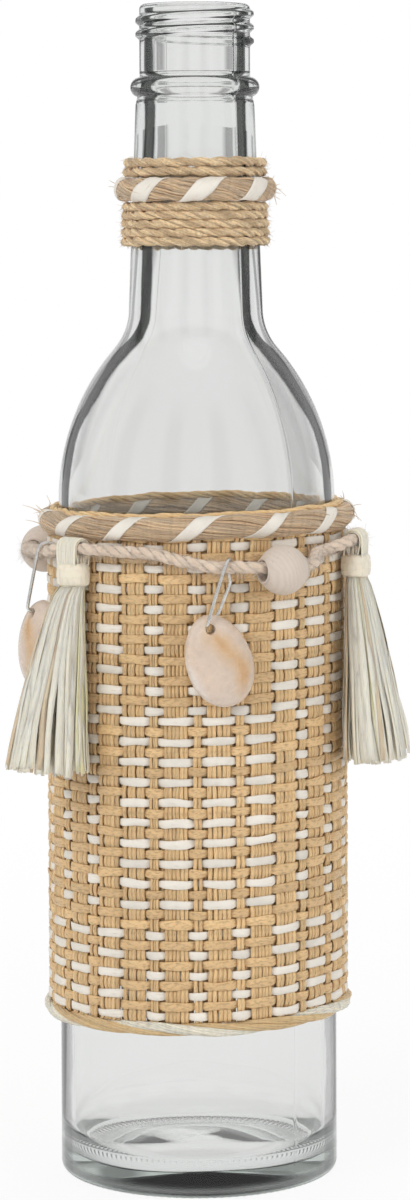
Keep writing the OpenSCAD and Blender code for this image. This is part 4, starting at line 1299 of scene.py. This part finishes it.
class BOTTLE_OT_stage(bpy.types.Operator):
    """Sets up the pale floor, the soft light, the white surroundings and the camera"""

    bl_idname = "charm_bottle.stage"
    bl_label = "Stage"

    def camera(self):
        """Looks from the front, 224 mm up, a little downward, with the frame shifted to take in the base."""
        data = bpy.data.cameras.new("camera")
        camera = bpy.data.objects.new("camera", data)
        bpy.context.scene.collection.objects.link(camera)
        data.sensor_fit = "AUTO"
        data.sensor_width = 36
        data.lens = 111.11
        data.shift_y = -0.26
        data.clip_start, data.clip_end = 0.05, 20
        camera.location = (0.00225, -0.8653, 0.22385)
        camera.rotation_mode = "XYZ"
        camera.rotation_euler = Euler((math.radians(90 - 1.2), math.radians(0.24), 0))
        bpy.context.scene.camera = camera

    def floor(self):
        """A wide pale floor that shows nearly white and keeps a faint shadow."""
        form = Form()
        r = np.array([0.001, 0.05, 0.1, 0.2, 0.4, 0.8, 1.6, 3.2, 6.0])[:, None]
        phi = np.arange(48)[None, :] * TURN / 48
        grid = around(phi, r, 0 * r - 0.00005)[:, ::-1]
        form.add(grid, capped=False)
        floor = bpy.data.objects.new("floor", form.mesh("floor"))
        bpy.context.scene.collection.objects.link(floor)
        f = Finish("floor")
        place = f.place()
        far = f.spread(f.node("ShaderNodeVectorMath", {0: place}, operation="LENGTH")["Value"], 0.12, 0.5)
        grain = f.noise(place, 60, 3)
        cloth = f.node("ShaderNodeBsdfDiffuse", {"Color": f.mix(grain, (0.86, 0.86, 0.86), (0.88, 0.88, 0.88))})
        path = f.node("ShaderNodeLightPath")
        sharp = path["Is Glossy Ray"] + path["Is Transmission Ray"]
        sharp = sharp.maths("MINIMUM", sharp, 1.0) * (1 - path["Is Camera Ray"])
        seen = path["Is Camera Ray"] + sharp
        level = path["Is Camera Ray"] + sharp * settings().glass_background
        glow = f.node("ShaderNodeEmission", {"Color": (1, 1, 1, 1), "Strength": level})
        blend = seen * (0.88 + far * 0.12)
        mixed = f.node("ShaderNodeMixShader", {0: blend, 1: cloth, 2: glow})
        f.node("ShaderNodeOutputMaterial", {"Surface": mixed})
        floor.data.materials.append(f.material)

    def world(self):
        """White behind everything, with eight soft dark strips that only glass and gloss see."""
        world = bpy.data.worlds.new("surroundings")
        world.use_nodes = True
        bpy.context.scene.world = world
        f = Finish("surroundings", world.node_tree)
        s = settings()
        way = f.node("ShaderNodeTexCoord")["Generated"]
        split = f.node("ShaderNodeSeparateXYZ", {"Vector": way})
        angle = split["X"].maths("ARCTAN2", split["X"], split["Y"])
        wave = (angle * 8).maths("COSINE", angle * 8)
        strip = f.spread(wave, -0.1, -0.75)
        strip = strip * f.spread(split["Z"].maths("ABSOLUTE", split["Z"]), 0.8, 0.6)
        path = f.node("ShaderNodeLightPath")
        sharp = (path["Is Glossy Ray"] + path["Is Transmission Ray"]).maths(
            "MINIMUM", path["Is Glossy Ray"] + path["Is Transmission Ray"], 1.0)
        dim = 1 - strip * s.strip_darkness
        level = (path["Is Camera Ray"] + sharp * dim * s.glass_background
                 + (1 - (path["Is Camera Ray"] + sharp).maths("MINIMUM", path["Is Camera Ray"] + sharp, 1.0)) * s.fill_light)
        level = level.maths("MINIMUM", level, 1.0)
        back = f.node("ShaderNodeBackground", {"Color": (1, 1, 1, 1), "Strength": level})
        f.node("ShaderNodeOutputWorld", {"Surface": back})

    def lamp(self, name, place, target, size, power):
        data = bpy.data.lights.new(name, "AREA")
        data.shape, data.size, data.size_y = "RECTANGLE", *size
        data.energy = power
        lamp = bpy.data.objects.new(name, data)
        bpy.context.scene.collection.objects.link(lamp)
        lamp.location = place
        way = np.array(target) - np.array(place)
        yaw = math.atan2(way[1], way[0])
        pitch = math.atan2(way[2], math.hypot(way[0], way[1]))
        lamp.rotation_euler = Euler((math.pi / 2 + pitch, 0, yaw - math.pi / 2))
        lamp.visible_glossy = lamp.visible_transmission = False

    def execute(self, context):
        s = settings()
        self.camera()
        self.floor()
        self.world()
        self.lamp("key", (-0.75, -0.95, 0.85), (0, 0, 0.12), (0.6, 0.9), s.key_light)
        self.lamp("side", (0.95, -0.55, 0.35), (0, 0, 0.12), (0.5, 0.9), s.key_light * 0.45)
        self.lamp("back", (0.1, 1.0, 0.9), (0, 0, 0.15), (0.9, 0.6), s.key_light * 0.4)
        view = context.scene.view_settings
        view.view_transform = "Standard"
        return {"FINISHED"}


# Settings and panel -------------------------------------------------------------------------------------


def length(name, description, millimetres):
    return FloatProperty(name=name, description=description, default=millimetres * MM, min=0, subtype="DISTANCE",
                         unit="LENGTH", precision=5)


def colour(name, description, value):
    return FloatVectorProperty(name=name, description=description, default=value, min=0, max=1, size=3,
                               subtype="COLOR")


class CharmBottleSettings(bpy.types.PropertyGroup):
    """Sizes and colours of the bottle and everything on it"""

    height: FloatProperty(name="Height", description="From the resting plane to the mouth", subtype="DISTANCE",
                          unit="LENGTH", default=round(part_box("glass_bottle")[1][2], 5))
    body_diameter: length("Body", "Outer diameter of the body", 64.5)
    wall: length("Wall", "Thickness of the glass", 2.8)
    shoulder_start: length("Shoulder start", "Height at which the body turns into the shoulder", 156.5)
    shoulder_radius: length("Shoulder radius", "Radius of the shoulder's arc", 54)
    fillet_radius: length("Hollow radius", "Radius of the hollow arc below the neck", 14)
    neck_low_diameter: length("Neck, low", "Diameter of the neck above the hollow arc", 31.3)
    neck_top_diameter: length("Neck, high", "Diameter of the neck below its bead", 27.8)
    collar_diameter: length("Neck bead", "Diameter of the bead below the thread", 30.2)
    finish_diameter: length("Finish", "Diameter of the screw finish without its thread", 25.9)
    bore_diameter: length("Bore", "Diameter of the mouth's bore", 19)
    thread_height: length("Thread height", "How far the thread stands out", 0.9)
    thread_pitch: length("Thread pitch", "Rise of the thread in one turn", 3.2)
    seam_angle: FloatProperty(name="Seam", description="Angle of the mould seam from the front, in degrees",
                              default=43)
    twine_diameter: length("Twine", "Diameter of the jute twine", 2.3)
    twine_pitch: length("Twine pitch", "Distance from one turn of twine to the next", 1.95)
    neck_rope_height: length("Neck rope height", "Height of the rope ring on the neck", 5.4)
    neck_rope_thickness: length("Neck rope thickness", "Thickness of the rope ring on the neck", 4.1)
    neck_strip_phase: FloatProperty(name="Neck strip", description="Where the paper strip starts", default=-0.75)
    top_strip_phase: FloatProperty(name="Top strip", description="Where the paper strip starts", default=0.1)
    top_rope_height: length("Top rope height", "Height of the rope on the sleeve", 5.4)
    top_rope_thickness: length("Top rope thickness", "Thickness of the rope on the sleeve", 4.5)
    sleeve_low: length("Sleeve, low", "Height of the sleeve's lower edge", 41)
    sleeve_high: length("Sleeve, high", "Height of the sleeve's upper edge", 149.6)
    sleeve_slope: FloatProperty(name="Sleeve slope", description="Rise of the sleeve from left to right",
                                default=0.019)
    warp_thickness: length("Warp", "Depth of the upright straws", 1.8)
    weft_thickness: length("Weft", "Depth of the cross rows", 0.9)
    weft_pitch: length("Row pitch", "Distance from one cross row to the next", 2.3)
    low_cord_diameter: length("Lower rim", "Diameter of the cord on the lower rim", 3.1)
    low_cord_phase: FloatProperty(name="Lower rim turn", description="Where the cream ply starts", default=0.4)
    cord_diameter: length("Charm cord", "Diameter of the cord that carries the charms", 2.8)
    bead_diameter: length("Bead", "Diameter of a bead", 11.3)
    bead_bore: length("Bead bore", "Diameter of a bead's bore", 4.6)
    tassel_length: length("Tassel length", "Length of a tassel below the cord", 51.5)
    tassel_width: length("Tassel width", "Width of a tassel's lower end", 22)
    tassel_depth: length("Tassel depth", "Depth of a tassel's lower end", 15)
    wire_diameter: length("Wire", "Diameter of the silver wire", 0.8)
    wire_length: length("Wire length", "Depth of the shell's hole below the cord", 13.7)
    shell_length: length("Shell length", "Length of a cowrie", 21.3)
    shell_width: length("Shell width", "Width of a cowrie", 15)
    shell_thickness: length("Shell thickness", "Thickness of a cowrie", 7.4)
    glass_colour: colour("Glass", "Tint of the glass", (0.985, 0.985, 0.98))
    jute_colour: colour("Jute", "Colour of the neck twine", (0.74, 0.53, 0.32))
    peach_colour: colour("Peach raffia", "Colour of the ropes", (0.61, 0.41, 0.25))
    straw_colour: colour("Straw", "Colour of the natural straw", (0.70, 0.48, 0.25))
    paper_colour: colour("Paper", "Colour of the white strips", (0.77, 0.72, 0.64))
    wool_colour: colour("Wool", "Colour of the charm cord", (0.72, 0.58, 0.46))
    wood_colour: colour("Wood", "Colour of the beads", (0.62, 0.53, 0.45))
    raffia_colour: colour("Raffia", "Colour of the tassels", (0.82, 0.75, 0.61))
    silver_colour: colour("Silver", "Colour of the wires", (0.78, 0.77, 0.75))
    shell_colour: colour("Shell", "Colour of the cowries", (0.62, 0.49, 0.39))
    key_light: FloatProperty(name="Key light", description="Power of the main lamp in watts", default=8.5,
                             subtype="POWER")
    fill_light: FloatProperty(name="Fill light", description="Level of the light from all round", default=0.60)
    glass_background: FloatProperty(name="White behind glass", default=0.84, min=0, max=1,
                                    description="Level of the white surroundings as glass and gloss show them")
    strip_darkness: FloatProperty(name="Dark strips", description="Depth of the strips that draw the glass's edges",
                                  default=0.6, min=0, max=1)


class BOTTLE_PT_panel(bpy.types.Panel):
    """Sizes, colours and steps of the charm bottle"""

    bl_idname = "BOTTLE_PT_panel"
    bl_label = "Charm Bottle"
    bl_space_type = "VIEW_3D"
    bl_region_type = "UI"
    bl_category = "Charm Bottle"

    def draw(self, context):
        for step in STEPS:
            self.layout.operator(step.bl_idname)
        for name in CharmBottleSettings.__annotations__:
            self.layout.prop(context.scene.charm_bottle, name)


STEPS = (BOTTLE_OT_stage, BOTTLE_OT_glass, BOTTLE_OT_twine, BOTTLE_OT_ropes, BOTTLE_OT_sleeve, BOTTLE_OT_beads,
         BOTTLE_OT_tassels, BOTTLE_OT_shells, BOTTLE_OT_charm_cord)
CLASSES = (CharmBottleSettings, *STEPS, BOTTLE_PT_panel)


def register():
    for cls in CLASSES:
        bpy.utils.register_class(cls)
    bpy.types.Scene.charm_bottle = PointerProperty(type=CharmBottleSettings)


def unregister():
    del bpy.types.Scene.charm_bottle
    for cls in reversed(CLASSES):
        bpy.utils.unregister_class(cls)


def main():
    register()
    for step in STEPS:
        family, name = step.bl_idname.split(".")
        getattr(getattr(bpy.ops, family), name)()


if __name__ == "__main__":
    main()
